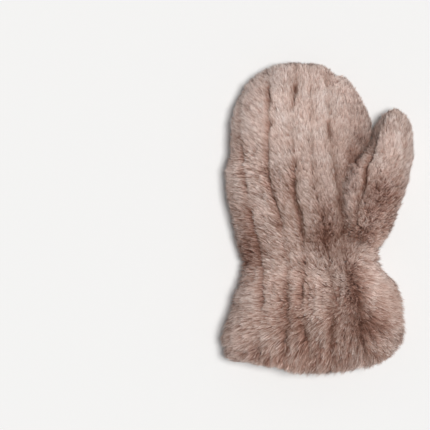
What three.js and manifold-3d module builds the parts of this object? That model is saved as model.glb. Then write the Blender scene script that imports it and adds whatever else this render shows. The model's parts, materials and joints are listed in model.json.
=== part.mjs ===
// A fur mitten lying on a table with its palm up, its fingers along +Y and its thumb towards +X.
// It is sewn from six pieces of deep-pile fur cloth: a palm and a back for the hand, a palm and a
// back for the flared cuff, and a front and a back for the thumb. Each piece is a wall of backing
// with its pile, worked in fur strips that run from the hem to the finger tips, with a groove
// between each two. The hand, the cuff and the thumb are hollow, and the cuff's mouth is open.
// Sizes are in millimetres, +Z is up, and the wrist seam lies at y = 0 while the pieces are made.
import * as THREE from "three";
import { mergeVertices } from "three/addons/utils/BufferGeometryUtils.js";
import Module from "manifold-3d";

const wasm = await Module();
wasm.setup();

// Driving dimensions of the hand and the cuff, over the fur.
const handLength = 184;
const handWidth = 139;
const handHeight = 52;
const wristWidth = 124;
const wristHeight = 44;
const cuffLength = 104;
const cuffWidth = 166;
const cuffHeight = 54;

// Driving dimensions of the thumb, over the fur.
const thumbLength = 133;
const thumbWidth = 57;
const thumbHeight = 54;
const thumbRootX = 56; // from the middle of the wrist out to the thumb's axis, at its root
const thumbRootY = 8; // from the wrist seam up to the end of the thumb's root
const thumbLean = 21; // how far the axis leans out from root to tip

// The fur cloth.
const backing = 2;
const pile = 9;
const wall = backing + pile;
const grooveDepth = 6;
const sideSeamDepth = 2; // the pile almost hides the seam at the side
const narrowStrip = 15; // strips under this width have shallower grooves
const seamGap = 0.3; // between two sewn pieces
const floorPress = 2.5; // how much of the pile the table flattens under the mitten

// The hem of the cuff and the tip of the hand.
const hemRound = 10; // radius of the fur rolling over the hem
const hemBow = 9; // how far the middle of the hem hangs below its corners
const hemReach = 35; // how far up the cuff that bow is felt
const hemTuft = 1.6; // depth of the notches between the locks along the hem
const hemTufts = 9; // locks along the hem of each cuff piece
const tipDroop = 5; // how far the finger tips sink towards the table
const tipDrift = 3; // how far the finger tips lean away from the thumb
const domeStart = 0.55; // share of the hand's length where its round end starts
const domeSquareness = 2.4;
const sectionSquareness = 2.5;

// The gathers that the elastic makes at the wrist.
const gatherDepth = 2.2;
const gatherReach = 22; // how far they run from the wrist seam
const gathersPerStrip = 2;

// Outline of the cuff from the wrist to the hem, and of the hand from the wrist to the start of its
// round end. along is a share of the length, left and right are shares of half the named width, and
// the height is named as it is.
const cuffSections = [
  { along: 0.0, width: wristWidth, left: 1.0, right: 1.0, height: wristHeight },
  { along: 0.09, width: wristWidth, left: 1.02, right: 1.12, height: wristHeight },
  { along: 0.2, width: cuffWidth, left: 0.79, right: 0.98, height: cuffHeight },
  { along: 0.32, width: cuffWidth, left: 0.85, right: 1.04, height: cuffHeight },
  { along: 0.5, width: cuffWidth, left: 0.91, right: 1.05, height: cuffHeight },
  { along: 0.7, width: cuffWidth, left: 0.99, right: 1.04, height: cuffHeight },
  { along: 0.85, width: cuffWidth, left: 0.97, right: 0.98, height: cuffHeight },
  { along: 1.0, width: cuffWidth, left: 0.94, right: 0.9, height: cuffHeight },
];
const handSections = [
  { along: 0.0, width: wristWidth, left: 1.01, right: 1.02, height: wristHeight },
  { along: 0.07, width: wristWidth, left: 1.08, right: 1.01, height: wristHeight },
  { along: 0.2, width: handWidth, left: 1.03, right: 0.91, height: handHeight },
  { along: 0.32, width: handWidth, left: 1.1, right: 0.9, height: handHeight },
  { along: 0.44, width: handWidth, left: 1.13, right: 0.89, height: handHeight },
  { along: 0.55, width: handWidth, left: 1.07, right: 0.84, height: handHeight },
];

// Grooves between the fur strips, from the little-finger side to the thumb side. Each column is
// how far the groove lies from the line through the middle of the wrist, at that place along the
// mitten, as a share of half the width named for the place below.
const palmGrooves = [
  { hem: -0.62, cuff: -0.55, wrist: -0.74, palm: -0.86, fingers: -0.95, tip: -1.0 },
  { hem: -0.42, cuff: -0.32, wrist: -0.34, palm: -0.5, fingers: -0.575, tip: -0.61 },
  { hem: -0.08, cuff: -0.08, wrist: -0.1, palm: -0.17, fingers: -0.24, tip: -0.2 },
  { hem: 0.24, cuff: 0.26, wrist: 0.3, palm: 0.07, fingers: 0.0, tip: -0.04 },
  { hem: 0.64, cuff: 0.57, wrist: 0.54, palm: 0.42, fingers: 0.28, tip: 0.23 },
];
const backGrooves = [
  { hem: -0.68, cuff: -0.64, wrist: -0.7, palm: -0.76, fingers: -0.82, tip: -0.86 },
  { hem: -0.34, cuff: -0.32, wrist: -0.36, palm: -0.4, fingers: -0.47, tip: -0.52 },
  { hem: 0.0, cuff: 0.0, wrist: 0.0, palm: -0.06, fingers: -0.12, tip: -0.18 },
  { hem: 0.34, cuff: 0.32, wrist: 0.34, palm: 0.3, fingers: 0.22, tip: 0.15 },
  { hem: 0.68, cuff: 0.66, wrist: 0.68, palm: 0.64, fingers: 0.56, tip: 0.48 },
];
// Where those columns stand along the mitten, and the width that they are shares of.
const grooveStations = [
  { column: "hem", y: -cuffLength, width: cuffWidth },
  { column: "cuff", y: -0.4 * cuffLength, width: cuffWidth },
  { column: "wrist", y: 0, width: wristWidth },
  { column: "palm", y: 0.32 * handLength, width: handWidth },
  { column: "fingers", y: 0.66 * handLength, width: handWidth },
  { column: "tip", y: handLength, width: handWidth },
];
const leastTurn = 0.07; // radians round the section between two grooves, where they run off its edge

// Dents pressed into the palm side. x is a share of half the hand's or the cuff's width, y a share
// of the hand's length or, below zero, of the cuff's, and the sink a share of the pile.
const dents = [
  { name: "below the index finger", x: 0.62, y: 0.6, reachX: 0.17, reachY: 0.15, sink: 0.75 },
  { name: "beside the thumb's root", x: 0.56, y: 0.28, reachX: 0.1, reachY: 0.22, sink: 1.3 },
  { name: "heel of the palm", x: 0.26, y: 0.1, reachX: 0.1, reachY: 0.07, sink: 0.6 },
  { name: "thumb side of the cuff", x: 0.5, y: -0.56, reachX: 0.12, reachY: 0.2, sink: 0.8 },
  { name: "middle of the cuff", x: -0.28, y: -0.52, reachX: 0.1, reachY: 0.16, sink: 0.45 },
];

// Outline of the thumb from the end of its root to its tip. along is a share of its length; inner
// and outer are shares of half its width, from its axis towards the hand and away from it; tall is
// a share of its height.
const thumbSections = [
  { along: 0.0, inner: 0.3, outer: 0.06, tall: 0.5 },
  { along: 0.05, inner: 0.86, outer: 0.32, tall: 0.8 },
  { along: 0.14, inner: 1.08, outer: 0.52, tall: 0.98 },
  { along: 0.3, inner: 1.3, outer: 0.7, tall: 1.0 },
  { along: 0.45, inner: 1.36, outer: 0.82, tall: 1.0 },
  { along: 0.58, inner: 1.26, outer: 0.86, tall: 0.96 },
  { along: 0.7, inner: 0.86, outer: 0.88, tall: 0.92 },
  { along: 0.8, inner: 0.68, outer: 0.82, tall: 0.86 },
];
const thumbDome = 0.8; // share of the thumb's length where its round end starts
const thumbGrooves = [-0.42, 0.5]; // shares of its half width
const thumbGroove = 3.2;

// How finely the fur is faceted.
const palmFacets = 6; // across each strip of the palm
const backFacets = 4;
const thumbFacets = 5;
const rimStations = 3;
const cuffStations = 11;
const handStations = 11;
const domeStations = 8;
const thumbStations = 14;
const thumbDomeStations = 6;
const hollowFacets = 28;

// A column of a table at a place along it, on a smooth curve through its rows.
function columnAt(rows, key, at, place = "along") {
  let i = 0;
  while (i < rows.length - 2 && at > rows[i + 1][place]) i += 1;
  const slope = (k) => {
    const a = rows[Math.max(k - 1, 0)];
    const b = rows[Math.min(k + 1, rows.length - 1)];
    return (b[key] - a[key]) / (b[place] - a[place]);
  };
  const step = rows[i + 1][place] - rows[i][place];
  const t = THREE.MathUtils.clamp((at - rows[i][place]) / step, 0, 1);
  const t2 = t * t;
  const t3 = t2 * t;
  return (
    (2 * t3 - 3 * t2 + 1) * rows[i][key] +
    (t3 - 2 * t2 + t) * step * slope(i) +
    (3 * t2 - 2 * t3) * rows[i + 1][key] +
    (t3 - t2) * step * slope(i + 1)
  );
}

// The rounded fall of a closed end: 1 where it starts, 0 at its tip.
const roundedEnd = (share, squareness) =>
  Math.pow(Math.max(1 - Math.pow(share, squareness), 0), 1 / squareness);

// A number from -1 to 1 bent so that a circle becomes the mitten's squarer section.
const squared = (c) => Math.sign(c) * Math.pow(Math.abs(c), 2 / sectionSquareness);

// Half widths, half height and middle of the hand and cuff at y, over the fur.
function bodySectionAt(y) {
  const onCuff = y < 0;
  const rows = (onCuff ? cuffSections : handSections).map((row) => ({
    along: row.along,
    left: (row.left * row.width) / 2,
    right: (row.right * row.width) / 2,
    half: row.height / 2,
  }));
  const along = onCuff ? -y / cuffLength : y / handLength;
  const dome = THREE.MathUtils.clamp((along - domeStart) / (1 - domeStart), 0, 1);
  const past = onCuff ? 0 : dome;
  const at = onCuff ? along : Math.min(along, domeStart);
  const narrow = roundedEnd(past, domeSquareness);
  const left = columnAt(rows, "left", at);
  const right = columnAt(rows, "right", at);
  const half = columnAt(rows, "half", at);
  return {
    x: (right - left) / 2 - tipDrift * past,
    z: half - floorPress - tipDroop * past * past,
    halfWidth: ((left + right) / 2) * narrow,
    halfHeight: half * roundedEnd(past, sectionSquareness),
  };
}

// Edges and grooves of the strips on one side at y, as angles round the section from the thumb side.
// A groove that runs off the narrowing finger tips stays beside their edge.
function stripAngles(grooves, y) {
  const section = bodySectionAt(y);
  const angles = grooves.map((groove) => {
    const places = grooveStations.map((station) => ({
      along: station.y,
      x: (groove[station.column] * station.width) / 2,
    }));
    const share = (columnAt(places, "x", y) - section.x) / Math.max(section.halfWidth, seamGap);
    const inside = THREE.MathUtils.clamp(share, -1, 1);
    return Math.acos(Math.sign(inside) * Math.pow(Math.abs(inside), sectionSquareness / 2));
  });
  const edges = [0, ...angles.reverse(), Math.PI];
  for (let i = 1; i < edges.length; i += 1)
    edges[i] = Math.max(edges[i], edges[i - 1] + leastTurn);
  edges[edges.length - 1] = Math.PI;
  for (let i = edges.length - 2; i > 0; i -= 1)
    edges[i] = Math.min(edges[i], edges[i + 1] - leastTurn);
  return edges;
}

// How far a strip's surface lies below its crest, t of the way across it: a V at each groove.
const fallToGroove = (t) => 1 - Math.sqrt(Math.max(4 * t * (1 - t), 0));

// A wave from 0 up to 1 and back in each whole turn.
const wave = (turns) => 0.5 - 0.5 * Math.cos(2 * Math.PI * turns);

// How far the elastic pulls the fur in at y, t of the way across a strip.
function gatherAt(y, t) {
  const near = Math.exp(-((y / gatherReach) ** 2));
  return gatherDepth * near * wave(gathersPerStrip * t);
}

// How far the dents take the palm side down at x, y.
function dentAt(x, y) {
  let sink = 0;
  for (const dent of dents) {
    const [width, length] = dent.y < 0 ? [cuffWidth, cuffLength] : [handWidth, handLength];
    const acrossDent = (x - (dent.x * width) / 2) / (dent.reachX * width);
    const alongDent = (y - dent.y * length) / (dent.reachY * length);
    sink += dent.sink * pile * Math.exp(-(acrossDent ** 2) - alongDent ** 2);
  }
  return sink;
}

// Joins rings of points, all with as many points, into one closed surface with flat ends.
function loft(rings) {
  const around = rings[0].length;
  const middle = (ring) =>
    ring.reduce((sum, p) => sum.add(p), new THREE.Vector3()).divideScalar(around);
  const points = [...rings.flat(), middle(rings[0]), middle(rings.at(-1))];
  const first = points.length - 2;
  const last = points.length - 1;
  const faces = [];
  for (let k = 0; k < around; k += 1) {
    const next = (k + 1) % around;
    faces.push(first, next, k);
    const top = (rings.length - 1) * around;
    faces.push(last, top + k, top + next);
    for (let r = 0; r < rings.length - 1; r += 1) {
      const [a, b] = [r * around + k, r * around + next];
      faces.push(a, b, b + around, a, b + around, a + around);
    }
  }
  const geometry = new THREE.BufferGeometry().setFromPoints(points);
  geometry.setIndex(faces);
  return geometry;
}

// A three.js geometry as a solid that can be cut and joined, and back.
function solidOf(geometry) {
  const bare = geometry.index ? geometry.toNonIndexed() : geometry.clone();
  bare.deleteAttribute("normal");
  bare.deleteAttribute("uv");
  const merged = mergeVertices(bare, 1e-4);
  const mesh = new wasm.Mesh({
    numProp: 3,
    vertProperties: merged.attributes.position.array,
    triVerts: new Uint32Array(merged.index.array),
  });
  return new wasm.Manifold(mesh);
}

function geometryOf(solid) {
  const mesh = solid.getMesh();
  const geometry = new THREE.BufferGeometry();
  geometry.setAttribute("position", new THREE.BufferAttribute(mesh.vertProperties, 3));
  geometry.setIndex(new THREE.BufferAttribute(mesh.triVerts, 1));
  geometry.computeVertexNormals();
  return geometry;
}

// A box from its lowest corner to its highest one, as a solid.
function block(low, high) {
  const size = high.map((v, i) => v - low[i]);
  const box = new THREE.BoxGeometry(...size);
  box.translate(...high.map((v, i) => (v + low[i]) / 2));
  return solidOf(box);
}

// The places along the hand and cuff where a ring is made, each with how far the hem's roll takes
// it in from the full section.
function bodyStations() {
  const stations = [];
  for (let i = 0; i < rimStations; i += 1) {
    const turn = (i / rimStations) * (Math.PI / 2);
    const back = hemRound * (1 - Math.sin(turn));
    stations.push({ y: -cuffLength + hemRound * (1 - Math.cos(turn)), rolledIn: back });
  }
  const rimEnd = -cuffLength + hemRound;
  for (let i = 0; i < cuffStations; i += 1)
    stations.push({ y: rimEnd * (1 - i / cuffStations), rolledIn: 0 });
  const domeY = domeStart * handLength;
  for (let i = 0; i < handStations; i += 1)
    stations.push({ y: (domeY * i) / handStations, rolledIn: 0 });
  for (let i = 0; i < domeStations; i += 1) {
    const turn = (i / domeStations) * (Math.PI / 2);
    stations.push({ y: domeY + (handLength - domeY) * Math.sin(turn), rolledIn: 0 });
  }
  return stations;
}

// The shares across a strip where a point is made, closer together beside the grooves.
function strideAcross(facets) {
  return Array.from({ length: facets }, (_, i) => 0.5 - 0.5 * Math.cos((Math.PI * i) / facets));
}

// The outer form of the hand and cuff: rings of fur strips. grow is a clearance all round it.
function bodyForm(grow = 0) {
  const rings = bodyStations().map(({ y, rolledIn }) => {
    const section = bodySectionAt(y);
    const ring = [];
    const addSide = (grooves, facets, upper) => {
      const angles = stripAngles(grooves, y);
      const order = angles.slice(0, -1).map((a, i) => [a, angles[i + 1]]);
      if (!upper) order.reverse();
      for (const [from, to] of order) {
        const stripWidth = section.halfWidth * (to - from);
        const shallow = Math.min(stripWidth / narrowStrip, section.halfHeight / wall, 1);
        for (const share of strideAcross(facets)) {
          const t = upper ? share : 1 - share;
          const angle = from + (to - from) * t;
          const [c, s] = [squared(Math.cos(angle)), squared(Math.sin(angle))];
          const besideSeam = (from === 0 && t < 0.5) || (to === Math.PI && t > 0.5);
          const deep = besideSeam ? sideSeamDepth : grooveDepth;
          const fall = shallow * deep * fallToGroove(t) + gatherAt(y, t);
          const sunk = fall + rolledIn - grow;
          const width = Math.max(section.halfWidth - sunk, seamGap);
          const height = Math.max(section.halfHeight - sunk, seamGap);
          const x = section.x + width * c;
          const lock = hemTuft * wave((hemTufts * angle) / Math.PI);
          const hemShare = Math.max(1 - (y + cuffLength) / hemReach, 0);
          const lift = (hemBow * c * c + lock) * hemShare;
          const dent = upper ? Math.min(dentAt(x, y) * s * s, pile - fall) : 0;
          const z = section.z + (upper ? height * s - dent : -height * s);
          ring.push(new THREE.Vector3(x, y + lift - grow * hemShare, z));
        }
      }
    };
    addSide(palmGrooves, palmFacets, true);
    addSide(backGrooves, backFacets, false);
    return ring.reverse();
  });
  const tip = bodySectionAt(handLength);
  const around = rings[0].length;
  const end = new THREE.Vector3(tip.x, handLength + grow, tip.z);
  rings.push(Array.from({ length: around }, () => end.clone()));
  return solidOf(loft(rings));
}

// The hollow for the hand, from past the hem to the finger tips.
function bodyHollow() {
  const past = 2 * hemRound;
  const innerTip = handLength - wall;
  const places = [{ y: -cuffLength - past, of: -cuffLength }];
  for (let i = 0; i <= cuffStations; i += 1)
    places.push({ y: -cuffLength * (1 - i / cuffStations), of: -cuffLength * (1 - i / cuffStations) });
  const domeY = domeStart * handLength;
  for (let i = 1; i <= handStations; i += 1)
    places.push({ y: (domeY * i) / handStations, of: (domeY * i) / handStations });
  for (let i = 1; i < domeStations; i += 1) {
    const turn = (i / domeStations) * (Math.PI / 2);
    const [reach, inner] = [handLength - domeY, innerTip - domeY];
    places.push({ y: domeY + inner * Math.sin(turn), of: domeY + reach * Math.sin(turn) });
  }
  const rings = places.map(({ y, of }) => {
    const section = bodySectionAt(of);
    const width = Math.max(section.halfWidth - wall, seamGap);
    const height = Math.max(section.halfHeight - wall, seamGap);
    return Array.from({ length: hollowFacets }, (_, i) => {
      const angle = (-2 * Math.PI * i) / hollowFacets;
      const x = section.x + width * squared(Math.cos(angle));
      return new THREE.Vector3(x, y, section.z + height * squared(Math.sin(angle)));
    });
  });
  return solidOf(loft(rings));
}

// Half widths, half height and middle of the thumb, share of the way along it, over the fur.
function thumbSectionAt(share) {
  const past = THREE.MathUtils.clamp((share - thumbDome) / (1 - thumbDome), 0, 1);
  const at = Math.min(share, thumbDome);
  const inner = (columnAt(thumbSections, "inner", at) * thumbWidth) / 2;
  const outer = (columnAt(thumbSections, "outer", at) * thumbWidth) / 2;
  const half = (columnAt(thumbSections, "tall", at) * thumbHeight) / 2;
  const end = roundedEnd(past, 2);
  return {
    x: thumbRootX + thumbLean * share + (outer - inner) / 2,
    y: thumbRootY + thumbLength * share,
    z: thumbHeight / 2 - floorPress,
    halfWidth: ((inner + outer) / 2) * end,
    halfHeight: half * end,
  };
}

// The thumb's outer form, or its hollow if inset is the thickness of its wall.
function thumbForm(inset = 0) {
  const shares = [];
  for (let i = 0; i < thumbStations; i += 1) shares.push((thumbDome * i) / thumbStations);
  for (let i = 0; i <= thumbDomeStations; i += 1) {
    const turn = (i / thumbDomeStations) * (Math.PI / 2);
    shares.push(thumbDome + (1 - thumbDome) * Math.sin(turn));
  }
  const middle = thumbRootY + thumbLength / 2;
  const shorter = (thumbLength - 2 * inset) / thumbLength;
  const strips = [-1, ...thumbGrooves, 1];
  const rings = shares.map((share) => {
    const section = thumbSectionAt(share);
    const y = middle + (section.y - middle) * shorter;
    const ring = [];
    for (const upper of [true, false]) {
      const edges = strips.map((e) => Math.acos(-e) + (upper ? 0 : Math.PI));
      for (let k = 0; k < strips.length - 1; k += 1) {
        for (const t of strideAcross(thumbFacets)) {
          const angle = edges[k] + (edges[k + 1] - edges[k]) * t;
          const thick = section.halfHeight / (thumbHeight / 2);
          const sunk = inset || Math.min(thick, 1) * thumbGroove * fallToGroove(t);
          const width = Math.max(section.halfWidth - sunk, seamGap / 2);
          const height = Math.max(section.halfHeight - sunk, seamGap / 2);
          const x = section.x + width * Math.cos(angle);
          ring.push(new THREE.Vector3(x, y, section.z + height * Math.sin(angle)));
        }
      }
    }
    return ring.reverse();
  });
  return solidOf(loft(rings));
}

// Splits a shell at a height or at a place along it, and leaves the seam's gap between the parts.
const far = 2 * (handLength + cuffLength + cuffWidth);
const above = (z) => block([-far, -far, z], [far, far, far]);
const below = (z) => block([-far, -far, -far], [far, far, z]);
const beyond = (y) => block([-far, y, -far], [far, far, far]);
const short = (y) => block([-far, -far, -far], [far, y, far]);

const hollow = bodyHollow();
const thumbHollow = thumbForm(wall);
const table = below(0);
const bodyShell = bodyForm().subtract(hollow).subtract(thumbHollow).subtract(table);
const thumbShell = thumbForm()
  .subtract(thumbHollow)
  .subtract(hollow)
  .subtract(bodyForm(seamGap))
  .subtract(table);

const seamHeight = handHeight / 2 - floorPress;
const thumbSeamHeight = thumbHeight / 2 - floorPress;
const half = seamGap / 2;
const upperShell = bodyShell.subtract(below(seamHeight + half));
const lowerShell = bodyShell.subtract(above(seamHeight - half));

// The pieces, with the fur's colour on each.
const furColours = { palm: 0xb79c8f, back: 0xad9184, thumb: 0xb2968a };
const furRoughness = 0.95;

function piece(name, solid, colour) {
  const material = new THREE.MeshStandardMaterial({
    color: colour,
    roughness: furRoughness,
    metalness: 0,
  });
  const mesh = new THREE.Mesh(geometryOf(solid), material);
  mesh.name = name;
  return mesh;
}

const mitten = new THREE.Group();
mitten.add(
  piece("hand_palm", upperShell.subtract(short(half)), furColours.palm),
  piece("hand_back", lowerShell.subtract(short(half)), furColours.back),
  piece("cuff_palm", upperShell.subtract(beyond(-half)), furColours.palm),
  piece("cuff_back", lowerShell.subtract(beyond(-half)), furColours.back),
  piece("thumb_front", thumbShell.subtract(below(thumbSeamHeight + half)), furColours.thumb),
  piece("thumb_back", thumbShell.subtract(above(thumbSeamHeight - half)), furColours.thumb),
);

// The origin is the middle of the mitten's outline, on the table.
const outline = new THREE.Box3().setFromObject(mitten);
const centre = outline.getCenter(new THREE.Vector3());
mitten.position.set(-centre.x, -centre.y, -outline.min.z);

export default mitten;
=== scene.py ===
# %% [markdown]
# # A deep-pile fur mitten, lying palm up
#
# The real mitten is sewn from long strips of fur cloth. Each strip has a thin knitted backing and
# a pile of fine hair, about 9 mm deep, that stands on it and leans a little to one side. What the
# eye reads as fur is the hair's tips: bright, pointed locks, with dark gaps where one sees down
# between them. A smooth body with a bump map has neither the fuzzy outline nor those gaps, so
# here the hair is real geometry: hundreds of thousands of thin, tapered blades, made with numpy
# in one go.
#
# The packed model gives the frame: where each piece lies and how large it is.

import json
import math

import bpy
import numpy as np
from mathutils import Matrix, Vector

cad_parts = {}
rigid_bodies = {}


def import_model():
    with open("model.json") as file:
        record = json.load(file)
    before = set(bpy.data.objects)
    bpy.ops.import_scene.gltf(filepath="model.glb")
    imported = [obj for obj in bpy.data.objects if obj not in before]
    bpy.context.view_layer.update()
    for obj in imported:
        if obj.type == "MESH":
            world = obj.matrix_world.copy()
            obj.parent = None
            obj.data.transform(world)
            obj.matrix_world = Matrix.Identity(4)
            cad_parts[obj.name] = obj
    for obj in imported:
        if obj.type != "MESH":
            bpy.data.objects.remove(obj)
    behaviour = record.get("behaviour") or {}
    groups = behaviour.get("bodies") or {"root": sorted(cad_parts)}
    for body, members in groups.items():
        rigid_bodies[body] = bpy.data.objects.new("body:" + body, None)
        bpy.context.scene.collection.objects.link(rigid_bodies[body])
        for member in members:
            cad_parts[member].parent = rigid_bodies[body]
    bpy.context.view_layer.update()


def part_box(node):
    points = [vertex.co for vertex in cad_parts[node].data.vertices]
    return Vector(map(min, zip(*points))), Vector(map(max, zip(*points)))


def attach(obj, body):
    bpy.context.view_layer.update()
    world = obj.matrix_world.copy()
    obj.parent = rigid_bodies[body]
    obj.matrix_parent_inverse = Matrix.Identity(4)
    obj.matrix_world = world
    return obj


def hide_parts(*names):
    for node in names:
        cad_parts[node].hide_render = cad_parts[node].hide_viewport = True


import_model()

# %% [markdown]
# ## The sizes
#
# All forms below are worked out in millimetres, with the wrist seam at y = 0 and the middle of
# the wrist at x = 0, as a pattern cutter would lay the pieces out. One shift at the end puts them
# where the packed pieces are. The lengths come from the packed pieces' boxes; the widths are
# named here.

# %% Sizes in millimetres
MM = 0.001
SEAM_GAP = 0.3
FLOOR_PRESS = 2.5
BACKING = 2.0
PILE = 9.0
WALL = BACKING + PILE
WRIST_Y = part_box("hand_back")[0].y / MM - SEAM_GAP / 2
HAND_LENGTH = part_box("hand_back")[1].y / MM - WRIST_Y
CUFF_LENGTH = WRIST_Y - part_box("cuff_back")[0].y / MM
HAND_WIDTH = 139.0
HAND_HEIGHT = 52.0
WRIST_WIDTH = 124.0
WRIST_HEIGHT = 44.0
CUFF_WIDTH = 166.0
CUFF_HEIGHT = 54.0
THUMB_WIDTH = 57.0
THUMB_HEIGHT = 54.0
THUMB_LENGTH = 133.0
THUMB_ROOT = (56.0, 8.0)
THUMB_LEAN = 21.0
print("hand", round(HAND_LENGTH, 1), "mm long, cuff", round(CUFF_LENGTH, 1), "mm long")

# %% [markdown]
# ## The tables of sections
#
# A mitten's outline is a short list of widths along its length. Each row is a share of a named
# size, and a smooth curve runs through the rows. A mitten isn't the same on both sides, so left
# and right have a column each, and so have the thumb's inner and outer side.

# %% Sections of the cuff and the hand
def rows(names, *lines):
    """A table as a list of dicts, from its column names and its lines of numbers."""
    return [dict(zip(names.split(), line)) for line in lines]


CUFF_SECTIONS = rows(
    "along width left right height",
    (0.0, WRIST_WIDTH, 1.0, 1.01, WRIST_HEIGHT),
    (0.09, WRIST_WIDTH, 1.02, 1.07, WRIST_HEIGHT),
    (0.2, CUFF_WIDTH, 0.78, 0.93, CUFF_HEIGHT),
    (0.32, CUFF_WIDTH, 0.84, 0.99, CUFF_HEIGHT),
    (0.5, CUFF_WIDTH, 0.9, 1.02, CUFF_HEIGHT),
    (0.7, CUFF_WIDTH, 0.98, 1.02, CUFF_HEIGHT),
    (0.85, CUFF_WIDTH, 0.95, 0.95, CUFF_HEIGHT),
    (1.0, CUFF_WIDTH, 0.94, 0.9, CUFF_HEIGHT),
)
HAND_SECTIONS = rows(
    "along width left right height",
    (0.0, WRIST_WIDTH, 1.01, 1.02, WRIST_HEIGHT),
    (0.07, WRIST_WIDTH, 1.08, 1.01, WRIST_HEIGHT),
    (0.2, HAND_WIDTH, 1.03, 0.91, HAND_HEIGHT),
    (0.32, HAND_WIDTH, 1.1, 0.9, HAND_HEIGHT),
    (0.44, HAND_WIDTH, 1.13, 0.89, HAND_HEIGHT),
    (0.55, HAND_WIDTH, 1.07, 0.84, HAND_HEIGHT),
)
print(len(CUFF_SECTIONS), "sections of the cuff and", len(HAND_SECTIONS), "of the hand")

# %% Sections of the thumb
THUMB_SECTIONS = rows(
    "along inner outer tall",
    (0.0, 0.3, 0.04, 0.25),
    (0.05, 0.86, 0.28, 0.48),
    (0.14, 1.1, 0.46, 0.78),
    (0.3, 1.36, 0.64, 0.98),
    (0.45, 1.46, 0.78, 1.0),
    (0.58, 1.38, 0.83, 0.96),
    (0.7, 0.85, 0.83, 0.92),
    (0.8, 0.56, 0.73, 0.86),
)
print("the thumb is widest at", max(THUMB_SECTIONS, key=lambda row: row["inner"])["along"])

# %% [markdown]
# ## From a table to a form
#
# `column_at` runs a smooth curve through one column. `body_section` then gives the half width,
# half height and middle of the hand or cuff at any y. All of them take whole arrays of places,
# because numpy works out a hundred thousand points as fast as Python works out one.

# %% A smooth curve through a table
def column_at(table, key, at, place="along", times=None):
    """A column of a table, times another if one is named, on a smooth curve through its rows."""
    x = np.array([row[place] for row in table], float)
    v = np.array([row[key] * (row[times] if times else 1) for row in table], float)
    k = np.arange(len(x))
    before, after = np.maximum(k - 1, 0), np.minimum(k + 1, len(x) - 1)
    slope = (v[after] - v[before]) / (x[after] - x[before])
    at = np.clip(np.asarray(at, float), x[0], x[-1])
    i = np.clip(np.searchsorted(x, at, side="right") - 1, 0, len(x) - 2)
    step = x[i + 1] - x[i]
    t = (at - x[i]) / step
    t2, t3 = t * t, t * t * t
    return (
        (2 * t3 - 3 * t2 + 1) * v[i]
        + (t3 - 2 * t2 + t) * step * slope[i]
        + (3 * t2 - 2 * t3) * v[i + 1]
        + (t3 - t2) * step * slope[i + 1]
    )


left = column_at(CUFF_SECTIONS, "left", 0.5, times="width") / 2
print("half-way down, the cuff reaches", round(left, 1), "mm to the left")

# %% [markdown]
# Both ends of the mitten are closed. A finger end is blunter than an ellipse and a thumb's tip is
# more pointed, so the fall towards a tip has its own power. The section itself is a squared
# ellipse: a soft tube that lies on a table is flatter above and below than at its sides.

# %% The hand, cuff and thumb at a place
DOME_START = 0.55
DOME_SQUARENESS = 2.4
SQUARENESS = 2.5
TIP_DROOP = 5.0
TIP_DRIFT = 3.0
THUMB_DOME = 0.8
THUMB_POINT = 1.58
THUMB_TIP_DRIFT = -1.5


def rounded_end(share, squareness):
    """The fall of a closed end: 1 where it starts, 0 at its tip."""
    return np.maximum(1 - share**squareness, 0) ** (1 / squareness)


def body_section(y):
    """Middle x and z, half width and half height of the hand or cuff at y, over the fur."""
    y = np.asarray(y, float)
    on_cuff = y < 0
    along = np.where(on_cuff, -y / CUFF_LENGTH, y / HAND_LENGTH)
    past = np.where(on_cuff, 0, np.clip((along - DOME_START) / (1 - DOME_START), 0, 1))
    at = np.where(on_cuff, along, np.minimum(along, DOME_START))

    def half(key, times=None):
        tables = (CUFF_SECTIONS, HAND_SECTIONS)
        return np.where(on_cuff, *(column_at(t, key, at, times=times) / 2 for t in tables))

    left, right, tall = half("left", "width"), half("right", "width"), half("height")
    middle_x = (right - left) / 2 - TIP_DRIFT * past
    middle_z = tall - FLOOR_PRESS - TIP_DROOP * past**2
    half_width = (left + right) / 2 * rounded_end(past, DOME_SQUARENESS)
    return middle_x, middle_z, half_width, tall * rounded_end(past, SQUARENESS)


def thumb_section(share):
    """Middle x, y and z, half width and half height of the thumb, a share of the way along it."""
    share = np.asarray(share, float)
    past = np.clip((share - THUMB_DOME) / (1 - THUMB_DOME), 0, 1)
    at = np.minimum(share, THUMB_DOME)
    inner = column_at(THUMB_SECTIONS, "inner", at) * THUMB_WIDTH / 2
    outer = column_at(THUMB_SECTIONS, "outer", at) * THUMB_WIDTH / 2
    tall = column_at(THUMB_SECTIONS, "tall", at) * THUMB_HEIGHT / 2
    end = rounded_end(past, THUMB_POINT)
    x = THUMB_ROOT[0] + THUMB_LEAN * share + (outer - inner) / 2 + THUMB_TIP_DRIFT * past**2
    y = THUMB_ROOT[1] + THUMB_LENGTH * share
    z = np.full_like(share, THUMB_HEIGHT / 2 - FLOOR_PRESS)
    return x, y, z, (inner + outer) / 2 * end, tall * end


for at, what in ((-CUFF_LENGTH / 2, "cuff"), (0, "wrist"), (HAND_LENGTH / 2, "hand")):
    print(what, "width", round(2 * float(body_section(at)[2]), 1), "mm")
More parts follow.
